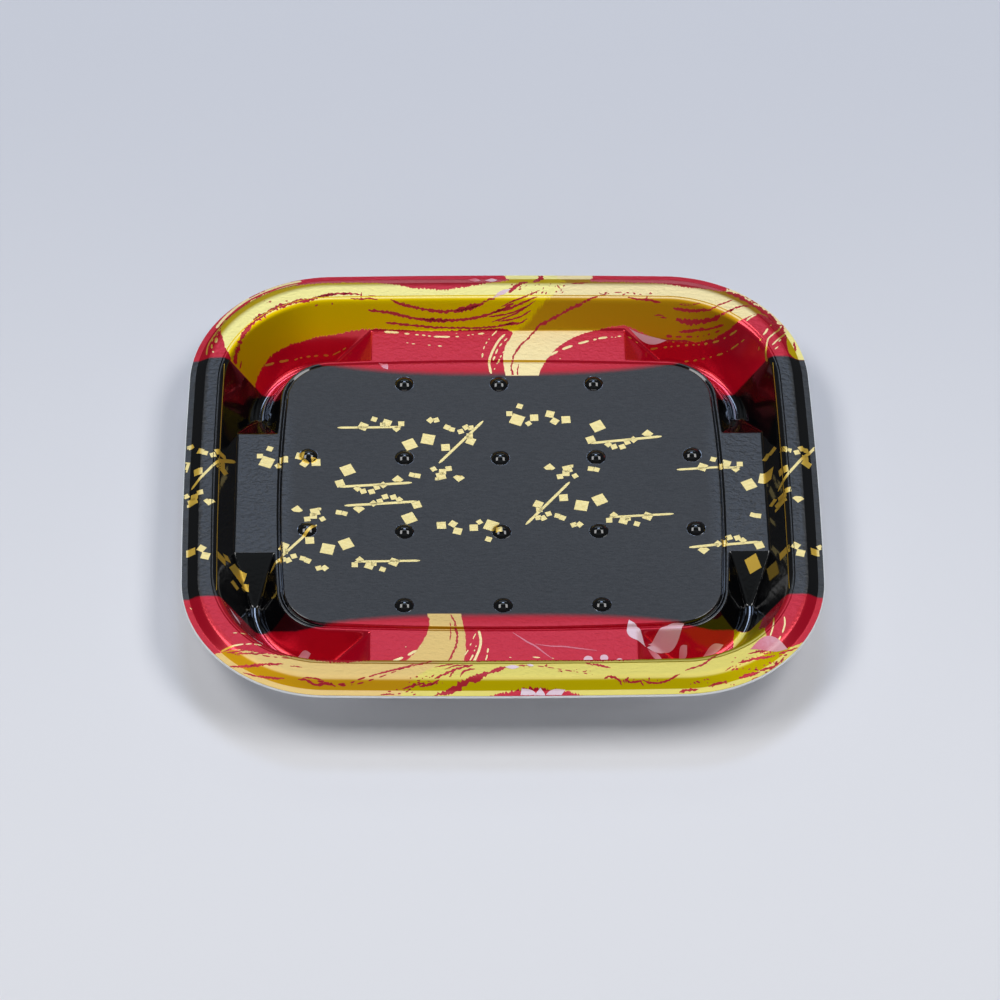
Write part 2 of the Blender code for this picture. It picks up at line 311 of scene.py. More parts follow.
def placed(points, station, side_x, side_y):
    """The places of a section's points at one station of one quarter."""
    (start_x, start_y), (reach_x, reach_y), bow, _ = station
    reach = points[:, 0] + points[:, 2] * bow
    stretch = (STRAIGHT_Y + points[:, 3]) / STRAIGHT_Y
    x = (start_x + reach_x * reach) * side_x
    y = (start_y * stretch + reach_y * reach) * side_y
    return np.stack((x, y, points[:, 1]), axis=1)


def pressed_columns(distance, grooved):
    """The pressed form from the lip to the floor's edge, one column of points for each station."""
    quarter = quarter_stations(distance)
    sections = []
    for station in quarter:
        edge = placed(np.array([[FLOOR_CORNER_RADIUS, 0, FLOOR_BOW, 0]]), station, 1, 1)[0]
        corners = section_corners(station[3], floor_height(edge[0], edge[1]), grooved)
        sections.append(moved(rounded(corners), distance))
    columns = []
    for side_x, side_y in ((1, 1), (-1, 1), (-1, -1), (1, -1)):
        step = side_x * side_y
        pairs = list(zip(quarter, sections))[::step][:-1]
        columns += [placed(section, station, side_x, side_y) for station, section in pairs]
    return columns


def floor_places():
    """Centres of the domes, and places between them that keep the floor's shape."""
    domes = []
    for row in DOME_ROWS:
        for column in DOME_COLUMNS:
            centre = (column * DOME_PITCH, row * DOME_PITCH)
            if clear_of_edge(*centre, DOME_RADIUS + DOME_MARGIN):
                domes.append(centre)
    between = []
    columns = int(LENGTH / 2 / FLOOR_PITCH)
    rows = int(WIDTH / 2 / FLOOR_PITCH)
    for row in range(-rows, rows + 1):
        for column in range(-columns, columns + 1):
            x = column * FLOOR_PITCH
            y = row * FLOOR_PITCH
            near = min(math.hypot(x - dome[0], y - dome[1]) for dome in domes)
            if clear_of_edge(x, y, FLOOR_CLEARANCE) and near > DOME_RADIUS + DOME_CLEARANCE:
                between.append((x, y))
    return domes, between


def clear_of_edge(x, y, margin):
    """Whether a place is on the floor, by at least this margin."""
    past_x = max(abs(x) - STRAIGHT_X, 0)
    past_y = max(abs(y) - STRAIGHT_Y, 0)
    return math.hypot(past_x, past_y) <= FLOOR_CORNER_RADIUS - margin


def dome_rings(centre, distance):
    """One dome as rings from just outside its foot to its top."""
    sphere = (DOME_RADIUS ** 2 + DOME_HEIGHT ** 2) / (2 * DOME_HEIGHT)
    floor = floor_height(*centre)
    middle = floor + DOME_HEIGHT - sphere
    foot_angle = math.acos((floor + DOME_FOOT_RISE - middle) / sphere)
    profile = [(DOME_RADIUS + DOME_FOOT, None), (DOME_RADIUS, None)]
    for i in range(DOME_STEPS):
        polar = foot_angle * (1 - i / DOME_STEPS)
        profile.append((sphere * math.sin(polar), middle + sphere * math.cos(polar)))
    loops = []
    for radius, height in profile:
        ring = []
        for side in range(DOME_SIDES):
            angle = math.tau * side / DOME_SIDES
            x = centre[0] + radius * math.cos(angle)
            y = centre[1] + radius * math.sin(angle)
            ring.append((x, y, (floor_height(x, y) if height is None else height) + distance))
        loops.append(ring)
    return loops, (centre[0], centre[1], floor + DOME_HEIGHT + distance)


def add_surface(verts, faces, distance, grooved):
    """Adds one surface of the pressed form, and gives the indices of its outer edge."""
    columns = pressed_columns(distance, grooved)
    around = len(columns)
    across = len(columns[0])
    base = len(verts)
    for column in columns:
        verts += [tuple(place) for place in column]
    for i in range(around):
        here = base + i * across
        there = base + (i + 1) % around * across
        for j in range(across - 1):
            faces.append((here + j, there + j, there + j + 1, here + j + 1))

    loop = [base + i * across + across - 1 for i in range(around)]
    plan = [verts[i][:2] for i in loop]
    index = list(loop)
    edges = [(i, (i + 1) % around) for i in range(around)]
    domes, between = floor_places()
    holes = []
    for centre in domes:
        rings, top = dome_rings(centre, distance)
        first = len(verts)
        for ring in rings:
            verts += ring
        peak = len(verts)
        verts.append(top)
        for level in range(len(rings) - 1):
            low = first + level * DOME_SIDES
            for side in range(DOME_SIDES):
                after = (side + 1) % DOME_SIDES
                faces.append((low + side, low + after, low + DOME_SIDES + after, low + DOME_SIDES + side))
        low = first + (len(rings) - 1) * DOME_SIDES
        for side in range(DOME_SIDES):
            faces.append((low + side, low + (side + 1) % DOME_SIDES, peak))
        start = len(plan)
        plan += [verts[first + side][:2] for side in range(DOME_SIDES)]
        index += range(first, first + DOME_SIDES)
        edges += [(start + side, start + (side + 1) % DOME_SIDES) for side in range(DOME_SIDES)]
        holes.append(set(range(start, start + DOME_SIDES)))
    for x, y in between:
        plan.append((x, y))
        index.append(len(verts))
        verts.append((x, y, floor_height(x, y) + distance))
    places = [Vector(place) for place in plan]
    for triangle in delaunay_2d_cdt(places, edges, [], INSIDE_ONLY, CLOSENESS)[2]:
        if not any(set(triangle) <= hole for hole in holes):
            faces.append(tuple(index[i] for i in triangle))
    return [base + i * across for i in range(around)]


def cut_edge(verts, faces, upper_edge, lower_edge, bulge):
    """Closes a sheet at the lip with a cut face that is square, or swells outwards in the middle."""
    around = len(upper_edge)
    upper = [Vector(verts[i]) for i in upper_edge]
    lower = [Vector(verts[i]) for i in lower_edge]
    loops = [upper_edge]
    for ring in range(1, EDGE_RINGS if bulge else 0):
        share = ring / EDGE_RINGS
        swell = bulge * math.sin(math.pi * share) ** EDGE_FULLNESS
        loop = []
        for i in range(around):
            along = upper[(i + 1) % around] - upper[i - 1]
            outward = Vector((along.y, -along.x, 0)).normalized() * swell
            loop.append(len(verts))
            verts.append(tuple(upper[i].lerp(lower[i], share) + outward))
        loops.append(loop)
    loops.append(lower_edge)
    for high, low in zip(loops, loops[1:]):
        for i in range(around):
            after = (i + 1) % around
            faces.append((high[after], high[i], low[i], low[after]))


def pressed_sheet(name, upper, lower, lower_grooved, bulge=0.0):
    """A closed sheet between two surfaces of the pressed form."""
    verts = []
    faces = []
    upper_edge = add_surface(verts, faces, upper, True)
    count = len(faces)
    lower_edge = add_surface(verts, faces, lower, lower_grooved)
    faces[count:] = [face[::-1] for face in faces[count:]]
    cut_edge(verts, faces, upper_edge, lower_edge, bulge)
    obj = add_mesh(name, verts, faces)
    obj.data.set_sharp_from_angle(angle=SHARP_ANGLE)
    return obj


def add_mesh(name, verts, faces):
    """A smooth object in the scene, made of these faces."""
    mesh = bpy.data.meshes.new(name)
    mesh.from_pydata(verts, [], faces)
    mesh.shade_smooth()
    obj = bpy.data.objects.new(name, mesh)
    bpy.context.scene.collection.objects.link(obj)
    return obj


# Print, drawn in plan in millimetres. The black middle ends on both sides this far from the long axis, where
# gold and crimson begin, give or take its edge. Pressing draws it further out on the floor and the base:
# everywhere by the least, by so much more at this distance from the short axis, and ever less over the run
# past the base's edge.
BLACK_HALF = 48.4
BLACK_EDGE = 0.2
BLACK_DRAWN_LEAST = 0.8
BLACK_DRAWN = 2.9
BLACK_DRAWN_AT = 50.0
BLACK_DRAWN_MOST = 6.0
BLACK_DRAWN_RUN = 5.0

# The streams of the near end are those of the far end given half a turn about this place. Past this x they
# lean outwards, by this share of the way past this y.
TURN_CENTRE = (-5.0, -2.75)
LEAN_PAST_X = 60
LEAN_PAST_Y = -66
LEAN = 0.2

# Outline of the far end's stream of gold, with the band that crosses the ledge
STREAM = [
    (-84.8, 42), (-84.8, 49), (-86.4, 52), (-87.3, 56), (-88.3, 60), (-87.6, 64), (-84.5, 68.3),
    (-80.5, 72.6), (-76.5, 75.9), (-72, 78.4), (-66, 80.2), (-60, 80.9), (-50, 81.2), (-40, 80.9),
    (-35, 80.2), (-31, 79.2), (-27, 77.9), (-22, 77.6), (-17, 77.2), (-12, 78.2), (-8, 79), (-4, 80.2),
    (0, 81.2), (3.5, 82.5), (4, 87), (29.5, 87), (30, 81.8), (40, 81), (50, 80.4), (56, 79.3), (60, 78.2),
    (64, 77.8), (69, 77.6), (73, 77.7), (75, 80.5), (80, 82), (93, 72), (101, 55), (98, 47), (93, 48.5),
    (91.3, 53), (91.8, 57), (90.3, 61), (88.5, 64), (86, 66.6), (83.5, 67.4), (82, 66.4), (79, 65),
    (77, 63.7), (74, 63.2), (70, 63.4), (65, 64.3), (60, 65.3), (55, 66), (50, 66.5), (45, 67.8),
    (41, 68.6), (36, 68.4), (31, 67.6), (27, 66.3), (23, 64), (20, 61.5), (17.5, 58.6), (15.5, 55.5),
    (14.2, 53), (13.2, 50.5), (12.6, 48.2), (12.4, 45), (12.8, 41.5), (3.8, 41.5), (2.6, 45), (2.2, 48.2),
    (1.7, 51), (1.5, 55), (1.8, 59.5), (2.8, 62.5), (4.3, 65), (4.6, 67), (2, 68.1), (-4, 68.1),
    (-10, 67.9), (-20, 67.6), (-30, 67.9), (-38, 68.2), (-45, 68), (-50, 67.5), (-57, 66.8), (-63, 65),
    (-68, 62.5), (-72, 59.5), (-75, 55.3), (-77, 51), (-77.6, 48.5), (-77.6, 42),
]

# Where that stream is champagne; the rest of it is a greener gold
CHAMPAGNE = [
    (-4, 40), (0.4, 48), (0.2, 55), (0.6, 59.5), (1.8, 62.5), (3.4, 65.5), (5.5, 67.6), (9, 68.8),
    (12.5, 71.2), (16.5, 73.8), (19, 76.5), (22, 81), (24, 90), (110, 90), (110, 62), (92, 61), (90, 52),
    (91, 40),
]

# Gold at the near end's right corner, beyond the turned stream
NEAR_CORNER = [
    (73, -68.5), (77, -69.9), (80, -69.8), (84, -68.2), (88.5, -66.2), (95, -63), (95, -78), (60, -92),
    (22, -92), (24, -84.8), (45, -83.2), (58, -82), (66, -79), (71, -75),
]

# Strokes are a width and the points that they run through. These rough crimson ones lie in the streams of
# both ends.
CRIMSON_STROKES = [
    (0.6, [(30.5, 74), (28, 72.9), (22, 71.1), (18, 70), (15, 69.2), (12.8, 68.4), (10.7, 66), (9.3, 64),
           (7.4, 61.8), (6, 59.4), (5, 57), (4.3, 54.4), (4, 51.5), (4.4, 49), (4.9, 46), (6, 43)]),
    (0.4, [(6.3, 53), (6, 50), (6.2, 46.5)]),
    (0.4, [(52, 70), (54, 69.8)]),
]

# Crimson strokes of the far end only
FAR_STROKES = [
    (1.7, [(91.4, 57.4), (88.0, 64.9), (83.1, 70.6), (77.4, 75.3), (73.4, 77.6)]),
    (0.9, [(-83.6, 48), (-83.4, 51), (-82.4, 54.5), (-81, 58.2), (-79, 61.8), (-76.3, 65.2), (-71.5, 69.2),
           (-66, 71.6), (-60, 73.2), (-54, 75.2), (-49, 75.8), (-44, 75.2)]),
    (1.3, [(-81.6, 57.4), (-80, 60.4), (-78.6, 62.6)]),
    (1.7, [(-77.8, 64.2), (-75.6, 66.0), (-73.6, 67.6)]),
    (1.8, [(-72.2, 68.8), (-69.6, 70.2), (-67.0, 71.3)]),
    (1.1, [(-66, 71.7), (-63.5, 72.6), (-61, 73.3)]),
    (1.3, [(-57.6, 74.2), (-54.4, 75.0), (-51.6, 75.5)]),
    (1.0, [(-50.4, 75.4), (-47.6, 75.6)]),
    (0.5, [(-82.2, 48.6), (-81.6, 51.4)]),
    (0.5, [(-47.2, 73.7), (-44, 73.5), (-41, 73.7), (-38.5, 73.3)]),
    (0.5, [(-43.9, 73.6), (-43.6, 76.2)]),
    (0.4, [(-41.5, 75), (-39, 74.6)]),
    (0.5, [(-34.4, 73.4), (-32, 72.6), (-26, 71.7), (-20, 71.2), (-14, 71.2), (-8, 71.8), (-3, 73.2)]),
    (0.8, [(-13.5, 71.3), (-10, 71.7), (-6, 72.3)]),
    (0.45, [(-41.5, 71.3), (-35, 70.9), (-28, 70.1), (-20, 69.6), (-12, 69.7), (-5, 70.3), (0, 71.2),
            (5, 72.5)]),
    (0.35, [(-36, 69.2), (-28, 68.8), (-20, 68.4), (-8, 68.3), (0, 68.6), (6, 69.3)]),
    (0.6, [(-24, 69.8), (-20, 69.6), (-16, 69.6)]),
    (1.6, [(3.4, 76.0), (5.4, 78.0), (7.4, 80.2), (9.6, 81.2)]),
    (0.8, [(-3.5, 73.4), (-1, 73.6)]),
    (0.5, [(19.0, 79.4), (20, 77.4)]),
    (0.5, [(20, 80.6), (21.8, 80.5)]),
    (0.7, [(23.5, 80), (26, 80.2), (29, 80.6)]),
    (1.9, [(11.5, 80.8), (13.2, 83), (14.2, 86)]),
    (0.5, [(32, 74.4), (34.4, 75.3)]),
    (0.5, [(41.5, 73.9), (44.5, 73.3), (47, 73.1), (52, 72.4)]),
    (0.9, [(47.3, 73), (47.8, 74.4)]),
    (0.3, [(50, 70.3), (53, 70.2)]),
    (0.5, [(56, 71.3), (60, 70.5), (65, 69.6), (68, 69.1), (71, 70.6), (75, 72.6)]),
    (0.35, [(58, 71.8), (62, 71.2), (64.6, 71.4)]),
    (0.8, [(57, 69.4), (61, 68.4), (65, 67.7), (70, 66.9), (73.3, 67.5), (76, 69.2), (81, 70.8)]),
    (1.1, [(73, 67.6), (75, 68.4)]),
    (0.5, [(58, 67.3), (64, 66.5), (68, 65.6), (72, 64.8)]),
    (0.3, [(52, 66.4), (58, 65.8), (62, 65.1)]),
    (1.0, [(81.2, 74.2), (83, 72.6)]),
    (0.8, [(83.6, 71.6), (84.8, 70)]),
    (1.1, [(86.8, 68), (88.6, 65)]),
    (0.6, [(79.4, 75.8), (80.4, 74.8)]),
    (0.9, [(90.2, 63.6), (91, 61.6)]),
    (0.9, [(93.8, 56), (94.2, 52)]),
]

# Fine crimson lines that fan out to the right on the far wall: their left and right ends
FAN_LEFT = [(-3.0, 70.2), (-1.5, 70.9), (0.0, 69.4), (1.0, 71.9), (2.0, 68.9), (3.5, 72.6), (-2.0, 69.3)]
FAN_RIGHT = [(10.5, 72.3), (12.6, 74.2), (10.6, 71.3), (11.6, 76.2), (9.4, 69.9), (13.4, 77.0), (12.0, 73.0)]

# Crimson strokes of the near end only
NEAR_STROKES = [
    (1.9, [(-21, -85.4), (-17, -84), (-13, -81.8), (-9, -79.8), (-5, -78.2)]),
    (1.2, [(-5, -78.2), (-2, -77), (0.4, -76.0)]),
    (0.8, [(-9.6, -75.2), (-14, -76.5), (-18, -78.5), (-21, -80.2)]),
    (1.0, [(-15.4, -77.6), (-16.6, -79.6)]),
    (0.6, [(-9, -76.6), (-12, -77.4), (-13.4, -79.6)]),
    (0.5, [(-11, -75.2), (-14.8, -75.4), (-18, -76.8)]),
    (0.4, [(-15, -74.8), (-18, -75.3), (-21, -76)]),
    (0.7, [(-19.6, -80.4), (-22, -81.6), (-25.6, -82.2)]),
    (0.6, [(-24.2, -81.2), (-27, -82), (-30.6, -82.8)]),
    (0.6, [(-33, -84.6), (-35.6, -84.6), (-38, -85.3)]),
    (0.8, [(24, -74.6), (27, -75.2), (31.4, -76.4)]),
    (0.8, [(29.4, -80.2), (31, -79.6), (33.4, -80.4), (34.6, -82)]),
    (0.7, [(35.6, -80.4), (37.4, -81.4), (40, -81.0), (41, -82.2)]),
    (0.5, [(40.6, -80.6), (43, -81.4), (46, -81.4), (49, -80.5), (52, -78.8)]),
    (0.6, [(53.6, -77.6), (56, -76.6), (59, -75.3), (61, -73.6), (64, -71.2), (65.6, -69.4)]),
    (1.2, [(55.6, -62.8), (57.4, -65.4), (59.6, -67.6)]),
    (0.8, [(56.6, -62), (59, -60.4), (62, -58.6), (65, -56.8)]),
    (0.7, [(-82, -73.7), (-77, -74.3), (-70, -74.6), (-66, -74.5)]),
    (0.9, [(-76, -74.4), (-72.6, -74.7)]),
    (0.6, [(-78, -76.2), (-74, -77.6), (-70, -78.6), (-65.6, -79.2)]),
    (0.4, [(-63, -75.2), (-60.4, -75.9)]),
    (0.6, [(-61.6, -79.8), (-59, -80.2), (-56.6, -81.6), (-53, -81.2), (-50.4, -82)]),
    (0.4, [(-60, -79.4), (-57, -79.6), (-54, -80.4)]),
    (0.5, [(-80, -70.2), (-75, -70.6), (-71, -70.4)]),
    (0.4, [(-83, -69.2), (-79, -69.4), (-76, -69)]),
    (0.7, [(69.6, -74.8), (73, -73.6), (76.4, -72.6), (80, -71.6)]),
    (0.9, [(69.6, -79.2), (73, -78), (76, -76.8)]),
    (0.7, [(76, -76.4), (80, -74.8), (83.4, -72)]),
    (0.6, [(72.6, -71.4), (76, -70.6), (79, -70)]),
    (0.8, [(73.4, -79.6), (77, -78), (81, -75.2)]),
    (0.6, [(82, -70.4), (85.4, -68.6), (88, -67.6)]),
    (1.0, [(51.6, -84.2), (54, -83.6), (57.4, -83.2)]),
    (0.6, [(60.4, -82.2), (63, -81.4), (66, -80.4)]),
    (0.4, [(65.6, -77.6), (67.4, -76.2)]),
]

# Specks of crimson in the gold: the middle of the patch, its half sizes, how many, and their turn in degrees
SPECKS = [
    ((16.0, 77.6), (5.5, 2.4), 16, 60), ((6.5, 78.2), (2.6, 2.0), 8, 50),
    ((-23.5, -80.6), (6.0, 1.5), 16, 20), ((10.5, -75.6), (5.0, 0.4), 7, 0),
    ((20.5, -77.6), (5.0, 0.6), 10, -12), ((38.5, -80.9), (7.5, 0.8), 10, 60),
    ((75.0, -75.4), (7.5, 2.8), 36, 25), ((80.0, -71.6), (5.0, 1.6), 26, 30),
    ((62.0, -81.2), (7.0, 1.6), 16, 15), ((84.2, 72.2), (2.2, 1.6), 5, -50),
    ((-88.8, 58.2), (1.2, 5.0), 9, 80), ((-62.0, 72.4), (14.0, 0.8), 14, 15),
    ((40.0, 75.4), (9.0, 0.5), 9, 0), ((-78.0, -69.8), (6.0, 0.8), 10, 0),
    ((-30.5, -83.8), (5.0, 0.9), 8, 10),
]

# Broken crimson lines in the streams of both ends, and of the near end only
CRIMSON_DASHES = [
    (0.6, [(29.8, 73.6), (33, 74.5), (36, 75.6), (40, 76), (43, 75.4), (46, 75)]),
    (0.5, [(54, 66.9), (60, 66.2), (66, 65), (72, 64)]),
]
NEAR_DASHES = [
    (0.5, [(-27, -74.6), (-30, -76.1), (-35, -78.6), (-40, -80.4), (-45, -81.6), (-49, -81.8)]),
    (0.45, [(4, -75.4), (9, -75.6), (14, -76.4), (19, -77.5), (26, -79)]),
]

# Smooth pale gold lines beside the streams of both ends
GOLD_STROKES = [
    (0.8, [(2.2, 66.2), (0.4, 63.8), (-1, 61), (-2, 58.4), (-2.8, 55.6), (-3, 52.6), (-2.4, 49.2)]),
    (0.4, [(-74.5, 55.8), (-71.6, 58)]),
    (0.4, [(-70, 59), (-67, 60.6)]),
    (0.7, [(15, 55.3), (15.3, 55.5)]),
    (0.9, [(16.4, 57), (19, 58.8)]),
    (1.0, [(20.4, 59.6), (23.7, 61.2)]),
    (0.9, [(25.6, 62), (29, 63.2)]),
    (0.8, [(30.4, 63.6), (31.5, 64)]),
    (0.9, [(32, 64.2), (35, 64.8)]),
    (0.6, [(36.2, 64.8), (36.7, 64.8)]),
    (0.5, [(37.4, 64.7), (37.8, 64.8)]),
    (0.7, [(38.3, 65.1), (39.4, 65.2)]),
    (0.7, [(41.6, 65.8), (42.8, 66)]),
    (0.5, [(44.2, 65.6), (44.9, 65.5)]),
    (0.6, [(19.4, 55.6), (19.8, 55.6)]),
]

# Gold lines of the far end only, and of the near end only, with two thin painted highlights along the rim's
# inner crease
FAR_GOLD = [
    (0.5, [(-92.4, 50), (-92.2, 54), (-90.6, 58.4), (-88.2, 62.8), (-84.8, 67.6), (-80.6, 72), (-76, 75.6),
           (-70, 79.4), (-64, 81.6)]),
    (0.9, [(-89.8, 62.6), (-86.4, 68.2), (-81.6, 73.6), (-76, 77.8), (-69, 81.2), (-63, 83)]),
    (0.5, [(90.2, 63), (88.9, 60), (87.3, 57.8), (85.6, 55.8), (84.9, 53), (84.5, 50), (84.9, 47.6)]),
    (0.5, [(91.6, 60.2), (90, 57.4), (88.4, 55.2), (86.6, 53)]),
    (0.6, [(82.4, 66.3), (80.2, 64.8), (79, 63.4)]),
    (0.7, [(85.6, 60.2), (84.9, 58.6), (84, 57.4)]),
    (0.6, [(83.2, 55.9), (82.9, 55.2)]),
    (0.5, [(82.6, 53.8), (82.5, 53)]),
    (0.5, [(88.5, 52.4), (87.4, 51.2)]),
    (0.5, [(87, 62.4), (86.4, 61.4)]),
    (0.6, [(89.6, 55.8), (88.8, 54.4)]),
    (0.9, [(-36.4, 67.3), (-31.8, 67)]),
    (0.8, [(-30, 66.6), (-28.4, 66.4)]),
    (0.7, [(-26.6, 66.1), (-25.4, 66)]),
    (0.8, [(-24.3, 65.9), (-23.3, 65.7)]),
    (0.8, [(-22.4, 65.6), (-21.5, 65.4)]),
    (0.8, [(-20.6, 65.2), (-15.4, 65.1)]),
    (0.8, [(-13.6, 65.2), (-12.6, 65.2)]),
    (0.5, [(-13.5, 66.6), (-13.1, 66.6)]),
    (0.6, [(-9.9, 65.7), (-9.1, 65.8)]),
    (0.6, [(-8.4, 66), (-7.8, 66.1)]),
    (0.8, [(-6.4, 66.3), (-4.4, 66.6)]),
    (0.5, [(-29.3, 62.6), (-28.7, 62.5)]),
    (0.5, [(-27.6, 62.2), (-26.6, 62.1)]),
    (0.5, [(-22.5, 61.6), (-21.6, 61.5)]),
    (0.7, [(-19.3, 61.2), (-18, 61.1)]),
]
NEAR_GOLD_AND_HIGHLIGHTS = [
    (0.4, [(1.5, -65.2), (2.2, -65.3)]),
    (0.5, [(8.6, -65.2), (10.8, -65.4)]),
    (0.4, [(14.3, -65.6), (15, -65.7)]),
    # Two thin painted highlights along the rim's inner crease, drawn as gold lines
    (0.16, [(-86.7, 46), (-87.1, 24), (-87.2, 0), (-87.1, -24), (-86.7, -46)]),
    (0.16, [(86.5, 46), (86.9, 24), (87, 0), (86.9, -24), (86.5, -46)]),
    (0.5, [(84.3, -57.2), (84.3, -60), (83.4, -63.4)]),
    (0.5, [(82.8, -64.6), (81.8, -66.8)]),
    (0.45, [(81.2, -56.6), (80.8, -60.6), (79.6, -64.8)]),
    (0.6, [(-84.8, -68.4), (-81.4, -67.6), (-78, -66.9)]),
    (0.5, [(-77.4, -67), (-75.6, -66.8)]),
    (0.5, [(-74.8, -67), (-72.6, -67.4)]),
    (0.4, [(-81.2, -62.7), (-80, -62.6)]),
    (0.4, [(-79.2, -62.7), (-77.4, -63)]),
    (0.35, [(-94.6, -51.4), (-94, -52.2)]),
]

# Broken gold lines of both ends, and of the far end only
GOLD_DASHES = [
    (0.6, [(-0.4, 67.6), (-1.6, 66), (-3.1, 63.8), (-4, 62), (-4.8, 59.4), (-5.2, 56.2)]),
    (0.6, [(2.9, 64.4), (1, 62), (-0.2, 59.8), (-1, 57.4), (-1.7, 55)]),
    (0.5, [(1.9, 59), (0.8, 56.8), (0, 54.6), (-0.8, 52.4), (-1.6, 50.4)]),
    (0.35, [(-65.3, 61.2), (-62, 62.6), (-57, 63.7), (-53, 64), (-48.5, 65.2)]),
]
FAR_GOLD_DASHES = [
    (0.4, [(49, 64.8), (55, 65.1), (60, 64.8), (65, 63.8), (69, 62.8), (72, 62.2), (76.5, 61.7)]),
    (0.35, [(60, 62.1), (65, 61.2), (70, 60), (73, 59.2), (79, 58.5)]),
    (0.9, [(-86.8, 66), (-88.2, 62), (-89.4, 58), (-89.6, 54)]),
    (0.6, [(-89.4, 60.6), (-90.8, 56.6), (-90.8, 52.4), (-90.2, 50.4)]),
]

# Twigs of the cherry, in rose
TWIGS = [
    (0.55, [(2.8, -55.8), (7, -59.3), (9.5, -61), (12.5, -64), (14.5, -65.8)]),
    (0.45, [(9.5, -60.2), (14, -61), (18, -61.2), (23, -62), (28, -62.8)]),
]

# Petals and leaves: foot, tip, width, how far the middle bends to the left, and how rosy from 0 to 1
PETALS = [
    ((42.9, -60.0), (38.0, -51.3), 4.2, 0.9, 0.15),
    ((43.6, -58.4), (54.7, -52.5), 5.2, -0.6, 0.4),
    ((49.2, -58.4), (43.2, -59.9), 2.1, -0.3, 0.35),
    ((43.4, -60.4), (48.2, -61.8), 2.6, -0.2, 0.75),
    ((53.2, -59.6), (55.6, -57.0), 2.4, 0.0, 0.6),
    ((60.4, -58.4), (67.0, -53.9), 1.7, 0.0, 0.6),
    ((73.2, -69.8), (84.8, -68.3), 5.6, 1.7, 0.75),
    ((-63.2, -58.2), (-58.4, -57.8), 2.2, 0.0, 0.5),
    ((10.0, -88.5), (4.8, -82.9), 5.2, 0.5, 0.1),
    ((10.2, -88.5), (10.4, -82.7), 2.9, 0.0, 0.1),
    ((10.5, -88.0), (17.8, -83.3), 3.4, 0.5, 0.15),
    ((-1.8, 73.6), (4.2, 77.6), 1.7, 0.2, 0.2),
    ((-9.6, 83.2), (-5.4, 82.4), 2.4, 0.0, 0.9),
    ((-4.2, 82.4), (0.0, 82.8), 2.4, 0.0, 0.3),
    ((-38.2, 54.2), (-35.2, 50.8), 2.2, 0.3, 0.9),
    ((-0.2, -76.0), (4.3, -76.0), 1.5, 0.0, 0.1),
    ((6.4, -75.2), (8.6, -75.5), 0.9, 0.0, 0.1),
    ((41.8, 68.3), (54.2, 66.2), 1.3, -0.9, 0.45),
    ((-82.9, -49.6), (-79.4, -55.2), 1.1, 0.3, 0.05),
    ((-77.5, -60.0), (-72.2, -66.6), 1.9, 0.3, 0.1),
]
BUDS = [((25.3, -66.2), 1.4), ((30.1, -65.6), 1.25), ((34.7, -67.0), 1.2), ((40.0, -69.5), 1.1)]

# One spray of cut gold leaf: needles from end to end with a width, squares with a side and a turn in degrees,
# and squares with a corner cut off
NEEDLES = [
    ((-19.2, 12.9), (-5.2, 30.1), 0.9),
    ((-48.5, -4.9), (-26.0, -2.7), 0.95),
    ((-51.0, 26.8), (-31.0, 27.5), 0.85),
]
SQUARES = [
    (-22.6, 22.6, 4.0, -12), (-28.3, 20.4, 3.9, 26), (-17.1, 19.3, 2.7, 4), (-9.2, 21.9, 2.7, -25),
    (-9.5, 24.0, 2.0, 0), (-10.6, 27.5, 1.9, 30), (-9.1, 27.3, 1.8, 10), (-12.3, 25.8, 1.8, 20),
    (-16.6, 27.5, 1.9, -25), (-15.0, 26.6, 1.7, -15), (-21.8, 30.3, 1.9, 45), (-20.0, 30.4, 1.8, 20),
    (-20.9, 10.5, 1.7, 30), (-16.2, 10.7, 1.9, 10), (-18.6, 7.7, 2.8, 15), (-18.1, 9.4, 2.2, 0),
    (-19.9, 6.5, 1.1, 0), (-27.7, 8.1, 1.7, -20), (-25.9, 7.7, 1.8, -10), (-26.2, -4.1, 2.7, 20),
    (-33.4, -1.1, 1.9, 20), (-31.6, -2.1, 1.8, 45), (-36.0, -1.0, 1.9, 20), (-37.6, -2.8, 1.8, 20),
    (-39.6, -3.8, 2.0, 45), (-28.5, -9.6, 3.9, 26), (-18.6, -12.4, 2.8, 3), (-15.0, -11.8, 2.3, -35),
    (-13.6, -14.7, 2.6, -15), (-8.6, -13.3, 2.6, 2), (-6.8, -11.0, 1.7, 35), (-3.2, -12.5, 4.0, -22),
    (-4.1, -18.0, 1.9, -20), (-0.8, -15.0, 1.9, 0), (-43.0, 27.5, 2.8, -25), (-39.5, 30.5, 1.8, -20),
    (-35.5, 29.0, 2.7, -20), (-36.8, 28.3, 1.7, 0), (-32.5, 26.7, 1.9, 45), (-31.0, 28.8, 1.9, 0),
]
CUT_SQUARES = [(-13.0, 7.1, 2.6, 40), (-44.1, -6.0, 2.6, 45)]

# Where sprays stand, and where those stand that are first given half a turn about half of this place
SPRAY_TURN_SUM = (2.3, 18.0)
SPRAYS = [(0, 0), (-78.5, -18.0), (106.0, -17.7)]
TURNED_SPRAYS = [(0, 0), (-78.5, -18.0)]

# Pressing draws the print outwards less than the sheet, from here on
DRAWN_FROM = 72.0
DRAWN_SHARE = 0.085

# Height of the print's first layer over the film, and of each layer over the one before
PRINT_LIFT = 0.000015

# Marks are laid down from this height, and end where the film is steeper than this upward part of its normal
LAID_FROM = 0.05
STEEPEST = 0.2

# Spacing of the points along an outline, along a mark and across it, in millimetres
OUTLINE_STEP = 2.0
MARK_STEP = 0.35
MARK_PITCH = 0.45

# Depths in an outline are kept up to this many millimetres
DEPTH_KEPT = 4

